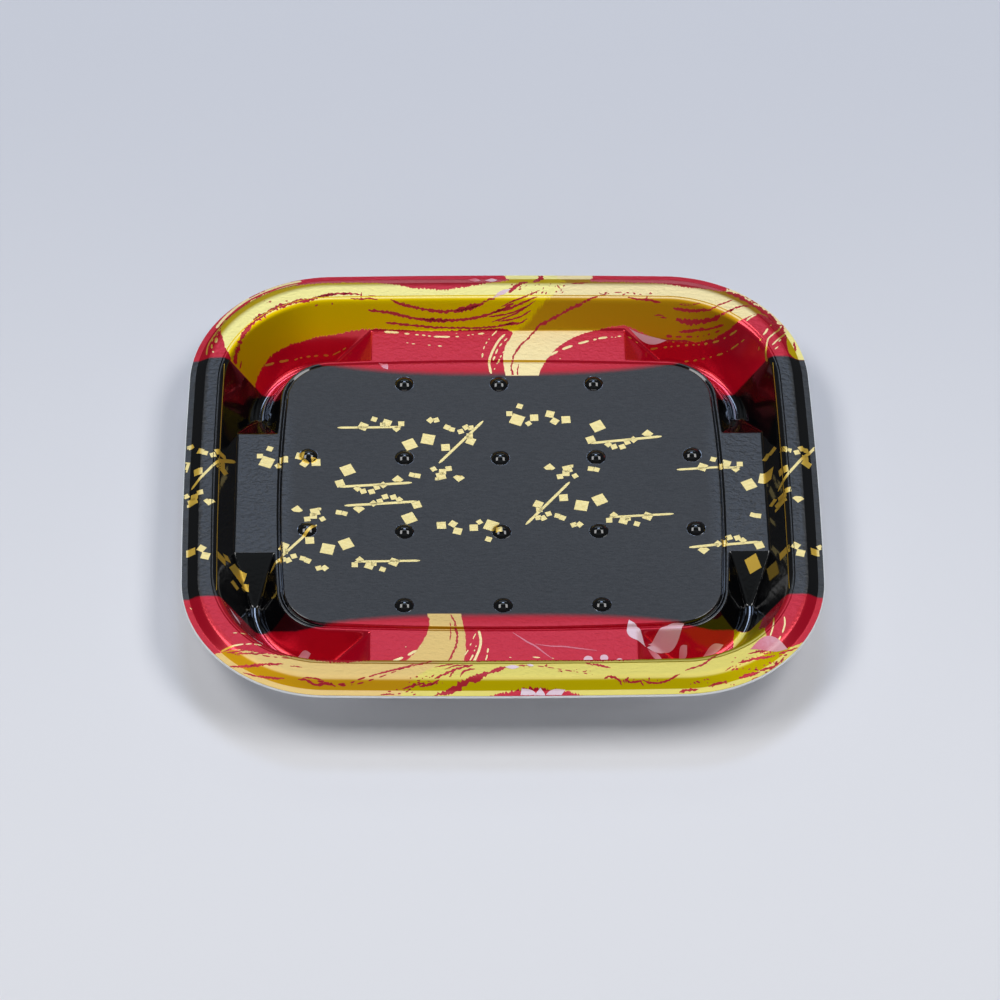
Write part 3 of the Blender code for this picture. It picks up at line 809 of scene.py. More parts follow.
# Width of a mark's tip as a share of its width, and how dry its brush is: the share by which its edge thins,
# how much of that it swells by, and over what length
TIP_WIDTH = 0.35
CRIMSON_ROUGH = 0.75
FAN_ROUGH = 0.6
DASH_ROUGH = 0.25
GOLD_ROUGH = 0.15
SWELL_SHARE = 0.6
ROUGH_STEP = 0.45

# Crimson strokes are this much wider than drawn. Fan lines sag by this much in x and y, and are this wide.
CRIMSON_SWELL = 1.2
FAN_SAG = (0.8, -0.35)
FAN_WIDTH = (0.3, 0.5)

# Lengths of dashes and of the gaps between them, and their width as a share of the line's
DASH = (0.8, 3.0)
DASH_GAP = (0.4, 1.4)
DASH_WIDTH = (0.7, 1.1)

# Specks: half their length, their width, and how far they lean from the patch's turn
SPECK_REACH = (0.12, 0.6)
SPECK_WIDTH = (0.25, 0.6)
SPECK_LEAN = 0.4

# Squares of leaf: spacing of their points, and where a corner is cut off, as a share of the side
LEAF_PITCH = 0.5
CORNER_CUT = 0.45

# Petals and buds: spacing of their points, how far past the middle and how round a petal is widest, and its
# tone from foot to tip
PETAL_STEP = 0.2
PETAL_PITCH = 0.3
PETAL_SKEW = 1.15
PETAL_ROUND = 1.1
PETAL_TONES = (1.4, 0.6)
BUD_TONE = 0.3
BUD_RINGS = 4
BUD_SIDES = 20
TWIG_TONE = 1.6
TWIG_TAPER = 6

# Around the valleys and domes the film was drawn smooth, as far as this from their middle line or foot
VALLEY_REACH = 1.6
VALLEY_PAST_CORNER = -1.2
DOME_REACH = 0.1


def turned(points):
    """These places after half a turn, from the far end to the near one."""
    return [(2 * TURN_CENTRE[0] - x, 2 * TURN_CENTRE[1] - y) for x, y in points]


def curve_through(points, spacing, closed=False):
    """A smooth curve through the points, as close points."""
    if closed:
        points = [points[-1]] + points + points[:2]
    else:
        points = [points[0]] + points + [points[-1]]
    curve = []
    for p0, p1, p2, p3 in zip(points, points[1:], points[2:], points[3:]):
        p0, p1, p2, p3 = (np.array(p, dtype=float) for p in (p0, p1, p2, p3))
        count = max(1, math.ceil(np.hypot(*(p2 - p1)) / spacing))
        for k in range(count):
            t = k / count
            curve.append(0.5 * (2 * p1 + (p2 - p0) * t + (2 * p0 - 5 * p1 + 4 * p2 - p3) * t ** 2
                                + (3 * p1 - p0 - 3 * p2 + p3) * t ** 3))
    if not closed:
        curve.append(np.array(points[-1], dtype=float))
    return np.array(curve)


def curve_and_run(points):
    """A mark's curve as close points, and how far along it each of them is."""
    curve = curve_through(points, MARK_STEP)
    steps = np.hypot(*np.diff(curve, axis=0).T)
    return curve, np.concatenate(([0], np.cumsum(steps)))


def depth_inside(places, outline):
    """How far each place lies inside the outline, in millimetres; negative outside."""
    loop = curve_through(outline, OUTLINE_STEP, closed=True)
    ends = np.roll(loop, -1, axis=0)
    nearest = np.full(len(places), 1e9)
    inside = np.zeros(len(places), dtype=bool)
    for a, b in zip(loop, ends):
        ab = b - a
        t = np.clip(((places - a) @ ab) / max(float(ab @ ab), 1e-12), 0, 1)
        nearest = np.minimum(nearest, np.hypot(*(places - a - t[:, None] * ab).T))
        crosses = (a[1] > places[:, 1]) != (b[1] > places[:, 1])
        if crosses.any():
            at = a[0] + (places[:, 1] - a[1]) * ab[0] / (ab[1] if ab[1] else 1e-12)
            inside ^= crosses & (places[:, 0] < at)
    return np.where(inside, nearest, -nearest)


def past_floor(places, radius):
    """How far each place lies outside the round-cornered outline of this corner radius, in millimetres."""
    past_x = np.maximum(np.abs(places[:, 0]) - STRAIGHT_X / MM, 0)
    past_y = np.maximum(np.abs(places[:, 1]) - STRAIGHT_Y / MM, 0)
    return np.hypot(past_x, past_y) - radius / MM


def mark_print(obj):
    """Writes the print on the film's vertices: depth in the gold streams and in their champagne part, how far
    the black middle is drawn out, and which places are floor (1) or drawn smooth by a dome or valley (-1)."""
    count = len(obj.data.vertices)
    places = np.empty(count * 3)
    obj.data.vertices.foreach_get("co", places)
    places = places.reshape(-1, 3)[:, :2] / MM
    near_stream = []
    for x, y in turned(STREAM):
        lean = max(0, LEAN * (y - LEAN_PAST_Y)) if x > LEAN_PAST_X else 0
        near_stream.append((x + lean, y))
    gold = np.maximum(depth_inside(places, STREAM), depth_inside(places, near_stream))
    gold = np.maximum(gold, depth_inside(places, NEAR_CORNER))
    far_warm = depth_inside(places, CHAMPAGNE)
    near_warm = depth_inside(places, turned(CHAMPAGNE))
    warm = np.where(places[:, 1] > 0, far_warm, near_warm)
    drawn_out = BLACK_DRAWN * (np.abs(places[:, 0]) / BLACK_DRAWN_AT) ** 3
    drawn_out = BLACK_DRAWN_LEAST + np.minimum(drawn_out, BLACK_DRAWN_MOST)
    drawn_out *= 1 - np.clip(past_floor(places, BASE_EDGE_RADIUS) / BLACK_DRAWN_RUN, 0, 1)
    floor = np.clip(0.5 - past_floor(places, FLOOR_CORNER_RADIUS), 0, 1)
    from_dome = np.min([np.hypot(*(places - np.array(dome) / MM).T) for dome in floor_places()[0]], axis=0)
    floor = np.where(from_dome < DOME_RADIUS / MM + DOME_REACH, -1.0, floor)
    corner = np.minimum(np.abs(places[:, 0]) - STRAIGHT_X / MM, np.abs(places[:, 1]) - STRAIGHT_Y / MM)
    from_valley = np.abs(past_floor(places, BASE_EDGE_RADIUS + BASE_RUN + CHANNEL_FLAT))
    floor = np.where((corner > VALLEY_PAST_CORNER) & (from_valley < VALLEY_REACH), -1.0, floor)
    marks = {
        "gold_depth": np.clip(gold, -DEPTH_KEPT, DEPTH_KEPT),
        "warm_depth": np.clip(warm, -DEPTH_KEPT, DEPTH_KEPT),
        "drawn_out": drawn_out,
        "floor": floor,
    }
    for name, values in marks.items():
        layer = obj.data.attributes.new(name, "FLOAT", "POINT")
        layer.data.foreach_set("value", values.astype(np.float32))


class Print:
    """Thin marks that lie on the film: strips and patches drawn in plan and laid down on the surface."""

    def __init__(self, tree, layer, ends_at=0.0):
        self.tree = tree
        self.lift = layer * PRINT_LIFT
        self.ends_at = ends_at
        self.verts = []
        self.faces = []
        self.tones = []

    def laid(self, place):
        """The place on the film under a place in plan, or None past the print's end or the tray's edge."""
        if abs(place[1]) < self.ends_at:
            return None
        start = Vector((place[0] * MM, place[1] * MM, LAID_FROM))
        hit, normal, _, _ = self.tree.ray_cast(start, Vector((0, 0, -1)))
        if hit is None or normal.z < STEEPEST:
            return None
        return hit + normal * self.lift

    def patch(self, grid, tone=0.0):
        """A grid of plan places, laid on the film as a patch. What lies past the edge is left out."""
        index = []
        for row, row_tone in zip(grid, np.broadcast_to(tone, len(grid))):
            line = []
            for place in row:
                spot = self.laid(place)
                if spot is None:
                    line.append(None)
                    continue
                line.append(len(self.verts))
                self.verts.append(spot)
                self.tones.append(row_tone)
            index.append(line)
        for low, high in zip(index, index[1:]):
            for a, b, c, d in zip(low, low[1:], high[1:], high):
                if None not in (a, b, c, d):
                    self.faces.append((a, b, c, d))

    def strip(self, points, width, tone=0.0, rough=0.0, taper=1.5, rng=None):
        """A strip along a smooth curve, with tapered ends and an edge as rough as asked."""
        curve, run = curve_and_run(points)
        along = np.gradient(curve, axis=0)
        along /= np.maximum(np.hypot(*along.T), 1e-9)[:, None]
        side = np.stack((-along[:, 1], along[:, 0]), axis=1)
        across = max(2, math.ceil(width / MARK_PITCH) + 1)
        left = rough_line(run, rough, rng)
        right = rough_line(run, rough, rng)
        grid = []
        for i, place in enumerate(curve):
            end = min(run[i], run[-1] - run[i])
            share = min(1.0, TIP_WIDTH + (1 - TIP_WIDTH) * end / taper)
            low = -width / 2 * share * left[i]
            high = width / 2 * share * right[i]
            grid.append([place + side[i] * (low + (high - low) * k / (across - 1)) for k in range(across)])
        self.patch(grid, tone)

    def dashes(self, points, width, rng):
        """The same curve, broken into dashes of uneven length."""
        curve, run = curve_and_run(points)
        start = 0.0
        while start < run[-1]:
            end = start + rng.uniform(*DASH)
            chosen = [tuple(place) for place, at in zip(curve, run) if start <= at <= end]
            if len(chosen) > 1:
                self.strip(chosen, width * rng.uniform(*DASH_WIDTH), rough=DASH_ROUGH, taper=0.4, rng=rng)
            start = end + rng.uniform(*DASH_GAP)

    def square(self, x, y, side, degrees, cut=False):
        """A square of leaf, or one with a corner cut off, as a small grid."""
        places = (np.linspace(0, 1, max(3, math.ceil(side / LEAF_PITCH) + 1)) - 0.5) * side
        cosine = math.cos(math.radians(degrees))
        sine = math.sin(math.radians(degrees))
        grid = []
        for v in places:
            row = []
            for u in places:
                over = max(u + v - CORNER_CUT * side, 0) / 2 if cut else 0
                right = u - over
                up = v - over
                row.append((x + right * cosine - up * sine, y + right * sine + up * cosine))
            grid.append(row)
        self.patch(grid)

    def petal(self, foot, tip, width, bend, tone):
        """A petal: narrow at its foot, widest past the middle, with its middle line bent to one side."""
        foot = np.array(foot)
        tip = np.array(tip)
        along = tip - foot
        length = float(np.hypot(*along))
        side = np.array((-along[1], along[0])) / length
        rows = max(8, math.ceil(length / PETAL_STEP))
        columns = max(4, math.ceil(width / PETAL_PITCH))
        grid = []
        for i in range(rows + 1):
            t = i / rows
            half = width / 2 * math.sin(math.pi * t ** PETAL_SKEW) ** PETAL_ROUND
            middle = foot + along * t + side * bend * math.sin(math.pi * t)
            grid.append([middle + side * half * (2 * k / columns - 1) for k in range(columns + 1)])
        self.patch(grid, tone * np.linspace(*PETAL_TONES, len(grid)))

    def disc(self, centre, radius, tone):
        """A round mark, as rings about its centre."""
        angles = np.linspace(0, math.tau, BUD_SIDES + 1)
        circle = np.stack((np.cos(angles), np.sin(angles)), axis=1)
        self.patch([centre + radius * ring / BUD_RINGS * circle for ring in range(BUD_RINGS + 1)], tone)

    def finish(self, name):
        """All marks so far as one object, with their tones."""
        obj = add_mesh(name, self.verts, self.faces)
        layer = obj.data.attributes.new("tone", "FLOAT", "POINT")
        layer.data.foreach_set("value", np.array(self.tones, dtype=np.float32))
        return obj


def rough_line(run, rough, rng):
    """Shares of the half-width along a stroke, as a dry brush leaves them."""
    if rough == 0 or rng is None:
        return np.ones(len(run))
    count = int(run[-1] / ROUGH_STEP) + 3
    knots = [rng.uniform(1 - rough, 1 + rough * SWELL_SHARE) for _ in range(count)]
    return np.interp(run / ROUGH_STEP, range(count), knots)


def drawn(x, y):
    """A place of the leaf print after pressing."""
    past = max(abs(x) - DRAWN_FROM, 0)
    return (x - math.copysign(past * DRAWN_SHARE, x), y)


def leaf_print(tree):
    """Cut gold leaf: sprays of needles and small squares across the black middle."""
    leaf = Print(tree, 1)
    placements = [(1, shift) for shift in SPRAYS] + [(-1, shift) for shift in TURNED_SPRAYS]
    for sign, shift in placements:
        origin = shift if sign == 1 else (shift[0] + SPRAY_TURN_SUM[0], shift[1] + SPRAY_TURN_SUM[1])

        def put(place):
            """This place of the spray in the whole print."""
            return drawn(origin[0] + sign * place[0], origin[1] + sign * place[1])

        for start, end, width in NEEDLES:
            middle = ((start[0] + end[0]) / 2, (start[1] + end[1]) / 2)
            leaf.strip([put(start), put(middle), put(end)], width, taper=1.2)
        for x, y, side, degrees in SQUARES:
            leaf.square(*put((x, y)), side, degrees)
        for x, y, side, degrees in CUT_SQUARES:
            leaf.square(*put((x, y)), side, degrees if sign == 1 else degrees + 180, cut=True)
    return leaf.finish("gold_leaf")


def stream_print(tree):
    """Crimson streaks in the gold streams, fine gold lines beside them, and two thin painted highlights along
    the rim's inner crease.
    """
    rng = random.Random(7)
    crimson = Print(tree, 1, BLACK_HALF + BLACK_EDGE)
    gold = Print(tree, 2)

    def both_ends(strokes):
        """These strokes at the far end, and again at the near end after half a turn."""
        return strokes + [(width, turned(points)) for width, points in strokes]

    for width, points in both_ends(CRIMSON_STROKES) + FAR_STROKES + NEAR_STROKES:
        crimson.strip(points, CRIMSON_SWELL * width, rough=CRIMSON_ROUGH, rng=rng)
    for start, end in zip(FAN_LEFT, FAN_RIGHT):
        middle = [0.5 * (a + b) + sag for a, b, sag in zip(start, end, FAN_SAG)]
        crimson.strip([start, middle, end], rng.uniform(*FAN_WIDTH), rough=FAN_ROUGH, rng=rng)
    for width, points in both_ends(CRIMSON_DASHES) + NEAR_DASHES:
        crimson.dashes(points, width, rng)
    for middle, half, count, degrees in SPECKS:
        turn = math.radians(degrees)
        for _ in range(count):
            x = middle[0] + rng.uniform(-1, 1) * half[0]
            y = middle[1] + rng.uniform(-1, 1) * half[1]
            reach = rng.uniform(*SPECK_REACH)
            lean = turn + rng.uniform(-SPECK_LEAN, SPECK_LEAN)
            step = (reach * math.cos(lean), reach * math.sin(lean))
            ends = [(x - step[0], y - step[1]), (x, y), (x + step[0], y + step[1])]
            crimson.strip(ends, rng.uniform(*SPECK_WIDTH), taper=0.3)
    for width, points in both_ends(GOLD_STROKES) + FAR_GOLD + NEAR_GOLD_AND_HIGHLIGHTS:
        gold.strip(points, width, rough=GOLD_ROUGH, taper=min(0.6, 2 * width), rng=rng)
    for width, points in both_ends(GOLD_DASHES) + FAR_GOLD_DASHES:
        gold.dashes(points, width, rng)
    return crimson.finish("crimson_streaks"), gold.finish("gold_lines_and_highlights")


def cherry_print(tree):
    """Pale petals and buds of the cherry, and two rose twigs."""
    cherry = Print(tree, 3)
    for foot, tip, width, bend, tone in PETALS:
        cherry.petal(foot, tip, width, bend, tone)
    for centre, radius in BUDS:
        cherry.disc(centre, radius, BUD_TONE)
    for width, points in TWIGS:
        cherry.strip(points, width, tone=TWIG_TONE, taper=TWIG_TAPER)
    return cherry.finish("cherry_petals")


class Nodes:
    """Short ways to add shader nodes, link them and do sums with them."""

    def __init__(self, name):
        self.material = bpy.data.materials.new(name)
        self.material.use_nodes = True
        self.tree = self.material.node_tree
        self.shader = self.tree.nodes["Principled BSDF"]

    def look(self, **inputs):
        """Sets inputs of the shader itself, or links them."""
        for name, value in inputs.items():
            self.put(self.shader.inputs[name.replace("_", " ")], value)

    def put(self, socket, value):
        if isinstance(value, bpy.types.NodeSocket):
            self.tree.links.new(value, socket)
        else:
            socket.default_value = value

    def add(self, kind, **inputs):
        node = self.tree.nodes.new(kind)
        for name, value in inputs.items():
            self.put(node.inputs[name], value)
        return node

    def math(self, operation, *values):
        node = self.tree.nodes.new("ShaderNodeMath")
        node.operation = operation
        for socket, value in zip(node.inputs, values):
            self.put(socket, value)
        return node.outputs[0]

    def plus(self, first, second):
        return self.math("ADD", first, second)

    def minus(self, first, second):
        return self.math("SUBTRACT", first, second)

    def times(self, first, second):
        return self.math("MULTIPLY", first, second)

    def most(self, first, second):
        return self.math("MAXIMUM", first, second)

    def ramp(self, value, low, high, start=0.0, end=1.0):
        """Smooth change from start to end as the value goes from low to high."""
        node = self.tree.nodes.new("ShaderNodeMapRange")
        node.interpolation_type = "SMOOTHSTEP"
        for socket, number in zip(node.inputs, (value, low, high, start, end)):
            self.put(socket, number)
        return node.outputs[0]

    def mix(self, share, first, second):
        node = self.tree.nodes.new("ShaderNodeMix")
        node.data_type = "RGBA"
        for socket, value in ((0, share), (6, first), (7, second)):
            self.put(node.inputs[socket], value)
        return node.outputs[2]

    def attribute(self, name):
        node = self.tree.nodes.new("ShaderNodeAttribute")
        node.attribute_name = name
        return node.outputs["Fac"]

    def place(self, scale=(1, 1, 1)):
        """Object coordinates in millimetres, stretched as asked."""
        coordinates = self.add("ShaderNodeTexCoord").outputs["Object"]
        scale = tuple(s / MM for s in scale)
        return self.add("ShaderNodeMapping", Vector=coordinates, Scale=scale).outputs[0]

    def part(self, vector, axis):
        return self.add("ShaderNodeSeparateXYZ", Vector=vector).outputs[axis]

    def noise(self, vector, scale, detail=2.0):
        return self.add("ShaderNodeTexNoise", Vector=vector, Scale=scale, Detail=detail).outputs["Fac"]

    def bump(self, height, strength, depth, **below):
        node = self.add("ShaderNodeBump", Height=height, Strength=strength, Distance=depth, **below)
        return node.outputs["Normal"]


# Inks and foam, as linear colours. The crimson lies over a thin metal layer, and the near end's gold has
# painted shade that makes it a little deeper.
CRIMSON_METAL = 0.42
NEAR_PAINTED_SHADE = 0.5
BLACK_INK = (0.0015, 0.0015, 0.002, 1)
GREY_DRAG = (0.017, 0.018, 0.021, 1)
CRIMSON_INK = (0.50, 0.0015, 0.019, 1)
DEEP_CRIMSON = (0.40, 0.001, 0.012, 1)
# Each gold comes as a paler copy, painted sheen for level foil, and a deeper copy, painted shade for steep
# foil
GREEN_GOLD_LIT_LEVEL = (0.87, 0.76, 0.30, 1)
GREEN_GOLD_SHADED_STEEP = (0.74, 0.53, 0.001, 1)
GREEN_GOLD_NEAR_SHADED = (0.49, 0.385, 0.0015, 1)
CHAMPAGNE_LIT_LEVEL = (0.85, 0.69, 0.36, 1)
CHAMPAGNE_SHADED_STEEP = (0.54, 0.29, 0.008, 1)
LINE_SHADED_STEEP = (0.68, 0.44, 0.06, 1)
LEAF_LIT_LEVEL = (0.82, 0.67, 0.31, 1)
LEAF_SHADED_STEEP = (0.80, 0.54, 0.09, 1)
PETAL_WHITE = (0.76, 0.62, 0.68, 1)
PETAL_ROSE = (0.64, 0.11, 0.15, 1)
FOAM_DULL = (0.84, 0.86, 0.88, 1)
FOAM_WHITE = (0.90, 0.91, 0.92, 1)

# Roughness of the film where it lies level, what its streaks change there, on the floor, where it was drawn
# smooth, what crimson adds there, and of gold
LEVEL_ROUGHNESS = 0.42
STREAK_ROUGHNESS = 0.1
FLOOR_ROUGHNESS = 0.55
STRETCHED_ROUGHNESS = 0.07
CRIMSON_ROUGHNESS = 0.10
GOLD_ROUGHNESS = 0.58

# Upward parts of the normal at which a surface counts as level and as steep: for the painted sheen and shade
# in the colour of foil, and for how smooth the film was drawn
FOIL_SHADE_SLOPES = (0.9985, 0.90)
FILM_SLOPES = (0.985, 0.93)

# The film's fine drag and leathery grain. Both lose strength where the film was drawn smooth, and the grain
# also where the surface is fine.
DRAG_STRENGTH = 0.95
DRAG_DEPTH = 0.00008
GRAIN_STRENGTH = 0.55
GRAIN_DEPTH = 0.00055
GRAIN_LOST_DRAWN = 0.53
GRAIN_LOST_FINE = 0.32
CRIMSON_FINE = 0.6

# Edges of the print in millimetres: how far the black's is blurred and wavers, how far gold's is torn between
# these distances from the long axis, and half the widths of gold's edge and of the change between the golds
EDGE_BLUR = 0.5
EDGE_WAVE = 0.5
TORN_PLACES = (69.0, 74.0)
TORN = (1.0, 2.6)
GOLD_EDGE = 0.10
WARM_EDGE = 0.5

# Where the painted shade of the near end's gold begins and is full, and what part of the streaks shows grey
# in the black
NEAR_SHADE_RAMP = (-20.0, -50.0)
GREY_STREAKS = (0.36, 0.66)


def add_gloss(nodes, drawn_smooth, fine=1.0):
    """The film's surface: clear plastic with a fine drag along the long axis and a leathery grain, which is
    shallower where it is fine: over the floor, on foil and on the marks."""
    drag_strength = nodes.minus(DRAG_STRENGTH, nodes.times(drawn_smooth, DRAG_STRENGTH))
    grain_strength = nodes.minus(GRAIN_STRENGTH, nodes.times(drawn_smooth, GRAIN_LOST_DRAWN))
    grain_strength = nodes.minus(grain_strength, nodes.times(fine, GRAIN_LOST_FINE))
    drag = nodes.noise(nodes.place((0.7, 1.5, 1.0)), scale=1.0, detail=3.0)
    grain = nodes.noise(nodes.place((0.8, 1.1, 1.0)), scale=0.8, detail=3.0)
    leather = nodes.bump(grain, grain_strength, GRAIN_DEPTH)
    nodes.look(Normal=nodes.bump(drag, drag_strength, DRAG_DEPTH, Normal=leather), IOR=1.55)


def steepness(nodes, slopes):
    """0 on level surfaces and 1 on steep ones, between these upward parts of the normal."""
    upward = nodes.part(nodes.add("ShaderNodeNewGeometry").outputs["Normal"], "Z")
    return nodes.ramp(nodes.math("ABSOLUTE", upward), *slopes)


def film_material():
    """Black, crimson and gold inks under one clear film, with painted sheen and shade in the gold's colour.
    """
    nodes = Nodes("printed_film")
    place = nodes.place()
    along_y = nodes.part(place, "Y")
    from_axis = nodes.math("ABSOLUTE", along_y)
    floor = nodes.attribute("floor")
    edge_wave = nodes.times(nodes.minus(nodes.noise(place, scale=0.8), 0.5), EDGE_WAVE)
    beyond = nodes.plus(nodes.minus(from_axis, nodes.attribute("drawn_out")), edge_wave)
    blur = nodes.plus(EDGE_BLUR, nodes.most(floor, 0.0))
    crimson = nodes.ramp(nodes.math("DIVIDE", nodes.minus(beyond, BLACK_HALF), blur), low=-1.0, high=1.0)
    streaks = nodes.noise(nodes.place((0.4, 1.8, 1.0)), scale=1.0, detail=4.0)
    grain = nodes.noise(place, scale=2.4)
    marks = nodes.plus(nodes.times(streaks, 0.5), nodes.times(grain, 0.5))
    stretched = nodes.most(steepness(nodes, FILM_SLOPES), nodes.times(floor, -1.0))
    grey = nodes.times(nodes.ramp(marks, *GREY_STREAKS), nodes.minus(1.0, stretched))
    ink = nodes.mix(crimson, nodes.mix(grey, BLACK_INK, GREY_DRAG), CRIMSON_INK)

    teeth = nodes.noise(nodes.place((1.6, 0.45, 0.45)), scale=1.0, detail=3.0)
    ragged = nodes.times(nodes.minus(teeth, 0.5), nodes.ramp(from_axis, *TORN_PLACES, *TORN))
    gold = nodes.ramp(nodes.plus(nodes.attribute("gold_depth"), ragged), -GOLD_EDGE, GOLD_EDGE)
    gold = nodes.times(gold, nodes.ramp(from_axis, BLACK_HALF - BLACK_EDGE, BLACK_HALF + BLACK_EDGE))
    warm = nodes.ramp(nodes.plus(nodes.attribute("warm_depth"), ragged), -WARM_EDGE, WARM_EDGE)
    # Painted shade on the near end's gold, on top of the painted shade of steep foil
    near_shade = nodes.ramp(along_y, *NEAR_SHADE_RAMP)
    steep = nodes.most(steepness(nodes, FOIL_SHADE_SLOPES), nodes.times(near_shade, NEAR_PAINTED_SHADE))
    # Painted light on the gold: the paler colour is painted sheen where the foil lies level, the deeper one
    # painted shade where it is steep
    green_lit_and_shaded = nodes.mix(steep, GREEN_GOLD_LIT_LEVEL, nodes.mix(near_shade, GREEN_GOLD_SHADED_STEEP, GREEN_GOLD_NEAR_SHADED))
    foil = nodes.mix(warm, green_lit_and_shaded, nodes.mix(steep, CHAMPAGNE_LIT_LEVEL, CHAMPAGNE_SHADED_STEEP))

    level = nodes.plus(LEVEL_ROUGHNESS - STREAK_ROUGHNESS / 2, nodes.times(marks, STREAK_ROUGHNESS))
    level = nodes.plus(level, nodes.times(floor, FLOOR_ROUGHNESS - LEVEL_ROUGHNESS))
    smooth = nodes.plus(STRETCHED_ROUGHNESS, nodes.times(crimson, CRIMSON_ROUGHNESS))
    inked = nodes.ramp(stretched, low=0.0, high=1.0, start=level, end=smooth)
    nodes.look(
        Base_Color=nodes.mix(gold, ink, foil),
        Metallic=nodes.most(gold, nodes.times(crimson, CRIMSON_METAL)),
        Roughness=nodes.most(inked, nodes.times(gold, GOLD_ROUGHNESS)),
    )
    add_gloss(nodes, stretched, nodes.most(floor, nodes.most(gold, nodes.times(crimson, CRIMSON_FINE))))
    return nodes.material


def foil_material(name, flat, steep):
    """Gold ink or leaf, paler where it lies level as painted sheen, and deeper where it is steep as painted
    shade.
    """
    nodes = Nodes(name)
    # Painted sheen on level foil and painted shade on steep foil
    colour = nodes.mix(steepness(nodes, FOIL_SHADE_SLOPES), flat, steep)
    speck = nodes.noise(nodes.place(), scale=1.5)
    worn = nodes.mix(nodes.ramp(speck, low=0.35, high=0.65, start=0.0, end=0.12), colour, steep)
    nodes.look(Base_Color=worn, Roughness=nodes.plus(0.50, nodes.times(speck, 0.12)), Metallic=1.0)
    add_gloss(nodes, steepness(nodes, FILM_SLOPES))
    return nodes.material


def ink_material(name, first, second, roughness, metal):
    """An ink that changes from the first colour to the second with the mark's tone."""
    nodes = Nodes(name)
    speck = nodes.noise(nodes.place(), scale=0.7)
    colour = nodes.mix(nodes.plus(nodes.attribute("tone"), nodes.times(speck, 0.1)), first, second)
    nodes.look(Base_Color=colour, Roughness=nodes.plus(roughness, nodes.times(speck, 0.08)), Metallic=metal)
    add_gloss(nodes, steepness(nodes, FILM_SLOPES))
    return nodes.material


def foam_material():
    """White foamed polystyrene: closed cells under a soft skin."""
    nodes = Nodes("white_foam")
    cells = nodes.add("ShaderNodeTexVoronoi", Vector=nodes.place(), Scale=2.2).outputs["Distance"]
    cloud = nodes.noise(nodes.place(), scale=0.25, detail=3.0)
    colour = nodes.mix(nodes.ramp(cloud, low=0.3, high=0.7), FOAM_DULL, FOAM_WHITE)
    roughness = nodes.plus(0.50, nodes.times(cloud, 0.15))
    nodes.look(Base_Color=colour, Roughness=roughness, Normal=nodes.bump(cells, strength=0.5, depth=0.00008))
    return nodes.material


def add_camera():
    """The camera that took the photograph."""
    camera = bpy.data.objects.new("camera", bpy.data.cameras.new("camera"))
    bpy.context.scene.collection.objects.link(camera)
    camera.data.lens = CAMERA_LENS
    camera.data.sensor_width = CAMERA_SENSOR
    camera.matrix_world = (
        Matrix.Rotation(-CAMERA_YAW, 4, "Z")
        @ Matrix.Translation(CAMERA_AIM)
        @ Matrix.Rotation(math.pi / 2 - CAMERA_ELEVATION, 4, "X")
        @ Matrix.Rotation(CAMERA_ROLL, 4, "Z")
        @ Matrix.Translation((0, 0, CAMERA_DISTANCE))
    )
    bpy.context.scene.camera = camera


# Softboxes: distance, then width, height, level and colour. The two at the sides differ in the side only. The
# others stand over the short axis, at this elevation in degrees from the far end.
WHITE = (1, 1, 1)
PALE_BLUE = (0.84, 0.95, 1.0)
SIDE_LIGHT_DISTANCE = 1.6
SIDE_LIGHT = (0.90, 0.50, 6.8, WHITE)
PANEL_DISTANCE = 1.8
PANELS = [
    ("back_panel", 54.0, 0.50, 0.25, 12.8, (0.60, 0.77, 1.12)),
    ("back_high", 68, 1.2, 0.20, 2.4, PALE_BLUE),
    ("back_low", 36, 1.6, 0.40, 0.9, PALE_BLUE),
    ("front_top", 112, 1.8, 0.7, 0.12, PALE_BLUE),
    ("front", 161, 1.9, 0.7, 1.25, WHITE),
]


def add_softbox(name, direction, distance, width, height, level, colour):
    """A soft light that faces the tray from this direction. Seen in a mirror, it would show at this level."""
    light = bpy.data.lights.new(name, "AREA")
    light.shape = "RECTANGLE"
    light.size = width
    light.size_y = height
    light.energy = level * math.pi * width * height
    light.color = colour
    obj = bpy.data.objects.new(name, light)
    towards = Vector(direction).normalized()
    obj.location = towards * distance
    obj.rotation_euler = towards.to_track_quat("Z", "Y").to_euler()
    bpy.context.scene.collection.objects.link(obj)


def add_lights():
    """Two bright softboxes at the sides, a cool panel that level surfaces mirror, and dimmer ones around."""
    for name, side in (("left_light", -1), ("right_light", 1)):
        add_softbox(name, (side * 0.495, 0.08, 0.866), SIDE_LIGHT_DISTANCE, *SIDE_LIGHT)
    for name, elevation, *looks in PANELS:
        angle = math.radians(elevation)
        add_softbox(name, (0, math.cos(angle), math.sin(angle)), PANEL_DISTANCE, *looks)


# The sheet under the tray: half its side, its colours, and in millimetres where one turns into the other
FLOOR_HALF = 2.5
FLOOR_NEAR = (0.80, 0.79, 0.81, 1)
FLOOR_FAR = (0.60, 0.605, 0.65, 1)
FLOOR_FADE = (-190, 230)

# Light from all round
WORLD_COLOUR = (0.9, 0.96, 1.0, 1)
WORLD_STRENGTH = 0.12


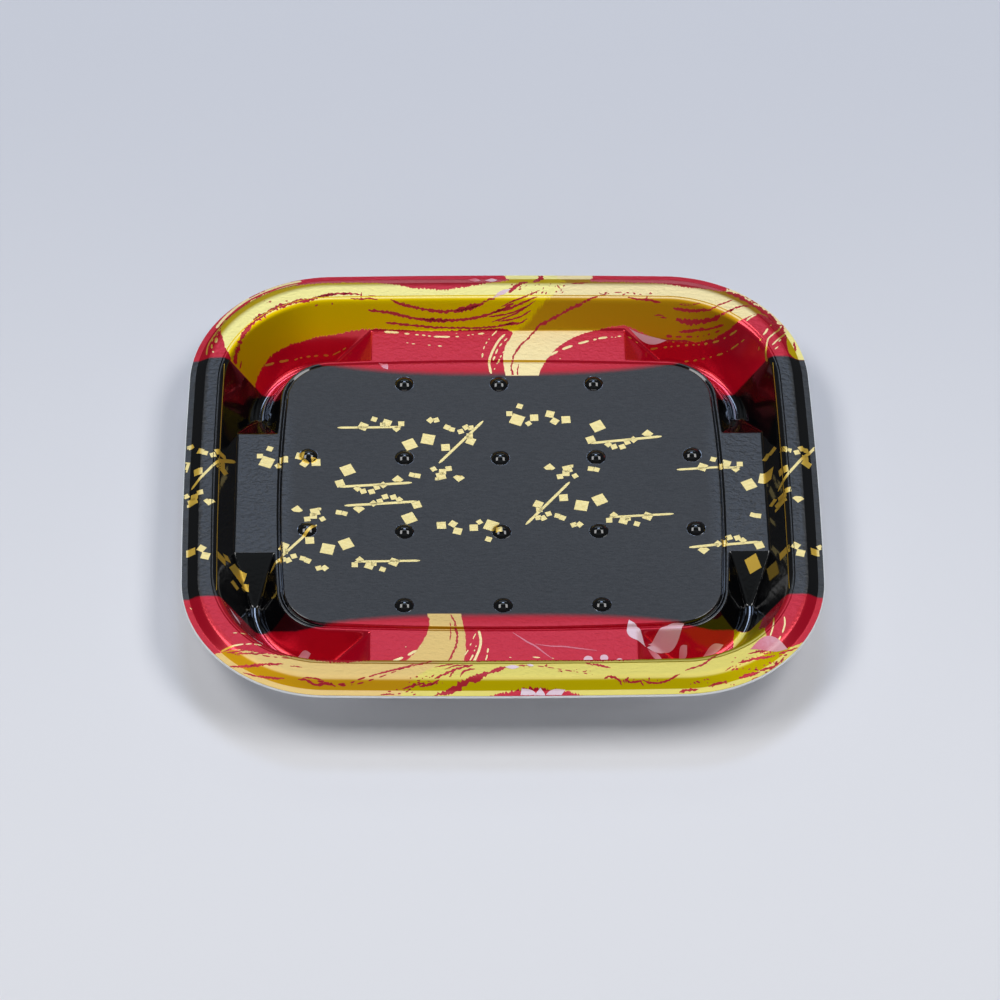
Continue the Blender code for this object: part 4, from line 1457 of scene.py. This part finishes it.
def add_floor():
    """A plain pale sheet under the tray, a little greyer and bluer towards the back."""
    corners = [(FLOOR_HALF * x, FLOOR_HALF * y, 0) for x, y in ((-1, -1), (1, -1), (1, 1), (-1, 1))]
    obj = add_mesh("floor", corners, [(0, 1, 2, 3)])
    nodes = Nodes("floor")
    far = nodes.ramp(nodes.part(nodes.place(), "Y"), *FLOOR_FADE)
    colour = nodes.mix(far, FLOOR_NEAR, FLOOR_FAR)
    nodes.look(Base_Color=colour, Roughness=0.8, Specular_IOR_Level=0.1)
    obj.data.materials.append(nodes.material)


def add_world():
    """Even soft light from all round."""
    world = bpy.data.worlds.new("studio")
    bpy.context.scene.world = world
    world.use_nodes = True
    background = world.node_tree.nodes["Background"]
    background.inputs["Color"].default_value = WORLD_COLOUR
    background.inputs["Strength"].default_value = WORLD_STRENGTH


def dress(obj, material, slot, *nodes):
    """Gives a piece its material and body, and hides the CAD nodes that it replaces; the slot is not used."""
    obj.data.materials.append(material)
    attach(obj, "root")
    if nodes:
        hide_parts(*nodes)


def build():
    """The two skins of the tray and the marks on the film."""
    foam = pressed_sheet("foam_shell", 0, -SHEET, False, EDGE_BULGE)
    film = pressed_sheet("film_shell", BOND_GAP + FILM, BOND_GAP, True)
    mark_print(film)
    tree = BVHTree.FromPolygons([v.co for v in film.data.vertices], [p.vertices for p in film.data.polygons])
    leaf = leaf_print(tree)
    crimson, gold = stream_print(tree)
    cherry = cherry_print(tree)
    dress(foam, foam_material(), "white_foam", "foam_tray")
    dress(film, film_material(), "printed_film", "printed_film")
    dress(leaf, foil_material("gold_leaf", LEAF_LIT_LEVEL, LEAF_SHADED_STEEP), "printed_film")
    # Gold lines, with the two painted highlights along the rim's inner crease
    dress(gold, foil_material("gold_lines_and_highlights", CHAMPAGNE_LIT_LEVEL, LINE_SHADED_STEEP), "printed_film")
    crimson_ink = ink_material("crimson_ink", DEEP_CRIMSON, CRIMSON_INK, 0.40, CRIMSON_METAL)
    dress(crimson, crimson_ink, "printed_film")
    dress(cherry, ink_material("cherry_ink", PETAL_WHITE, PETAL_ROSE, 0.28, 0.0), "printed_film")


bpy.context.scene.view_settings.view_transform = "Standard"
build()
add_floor()
add_world()
add_lights()
add_camera()
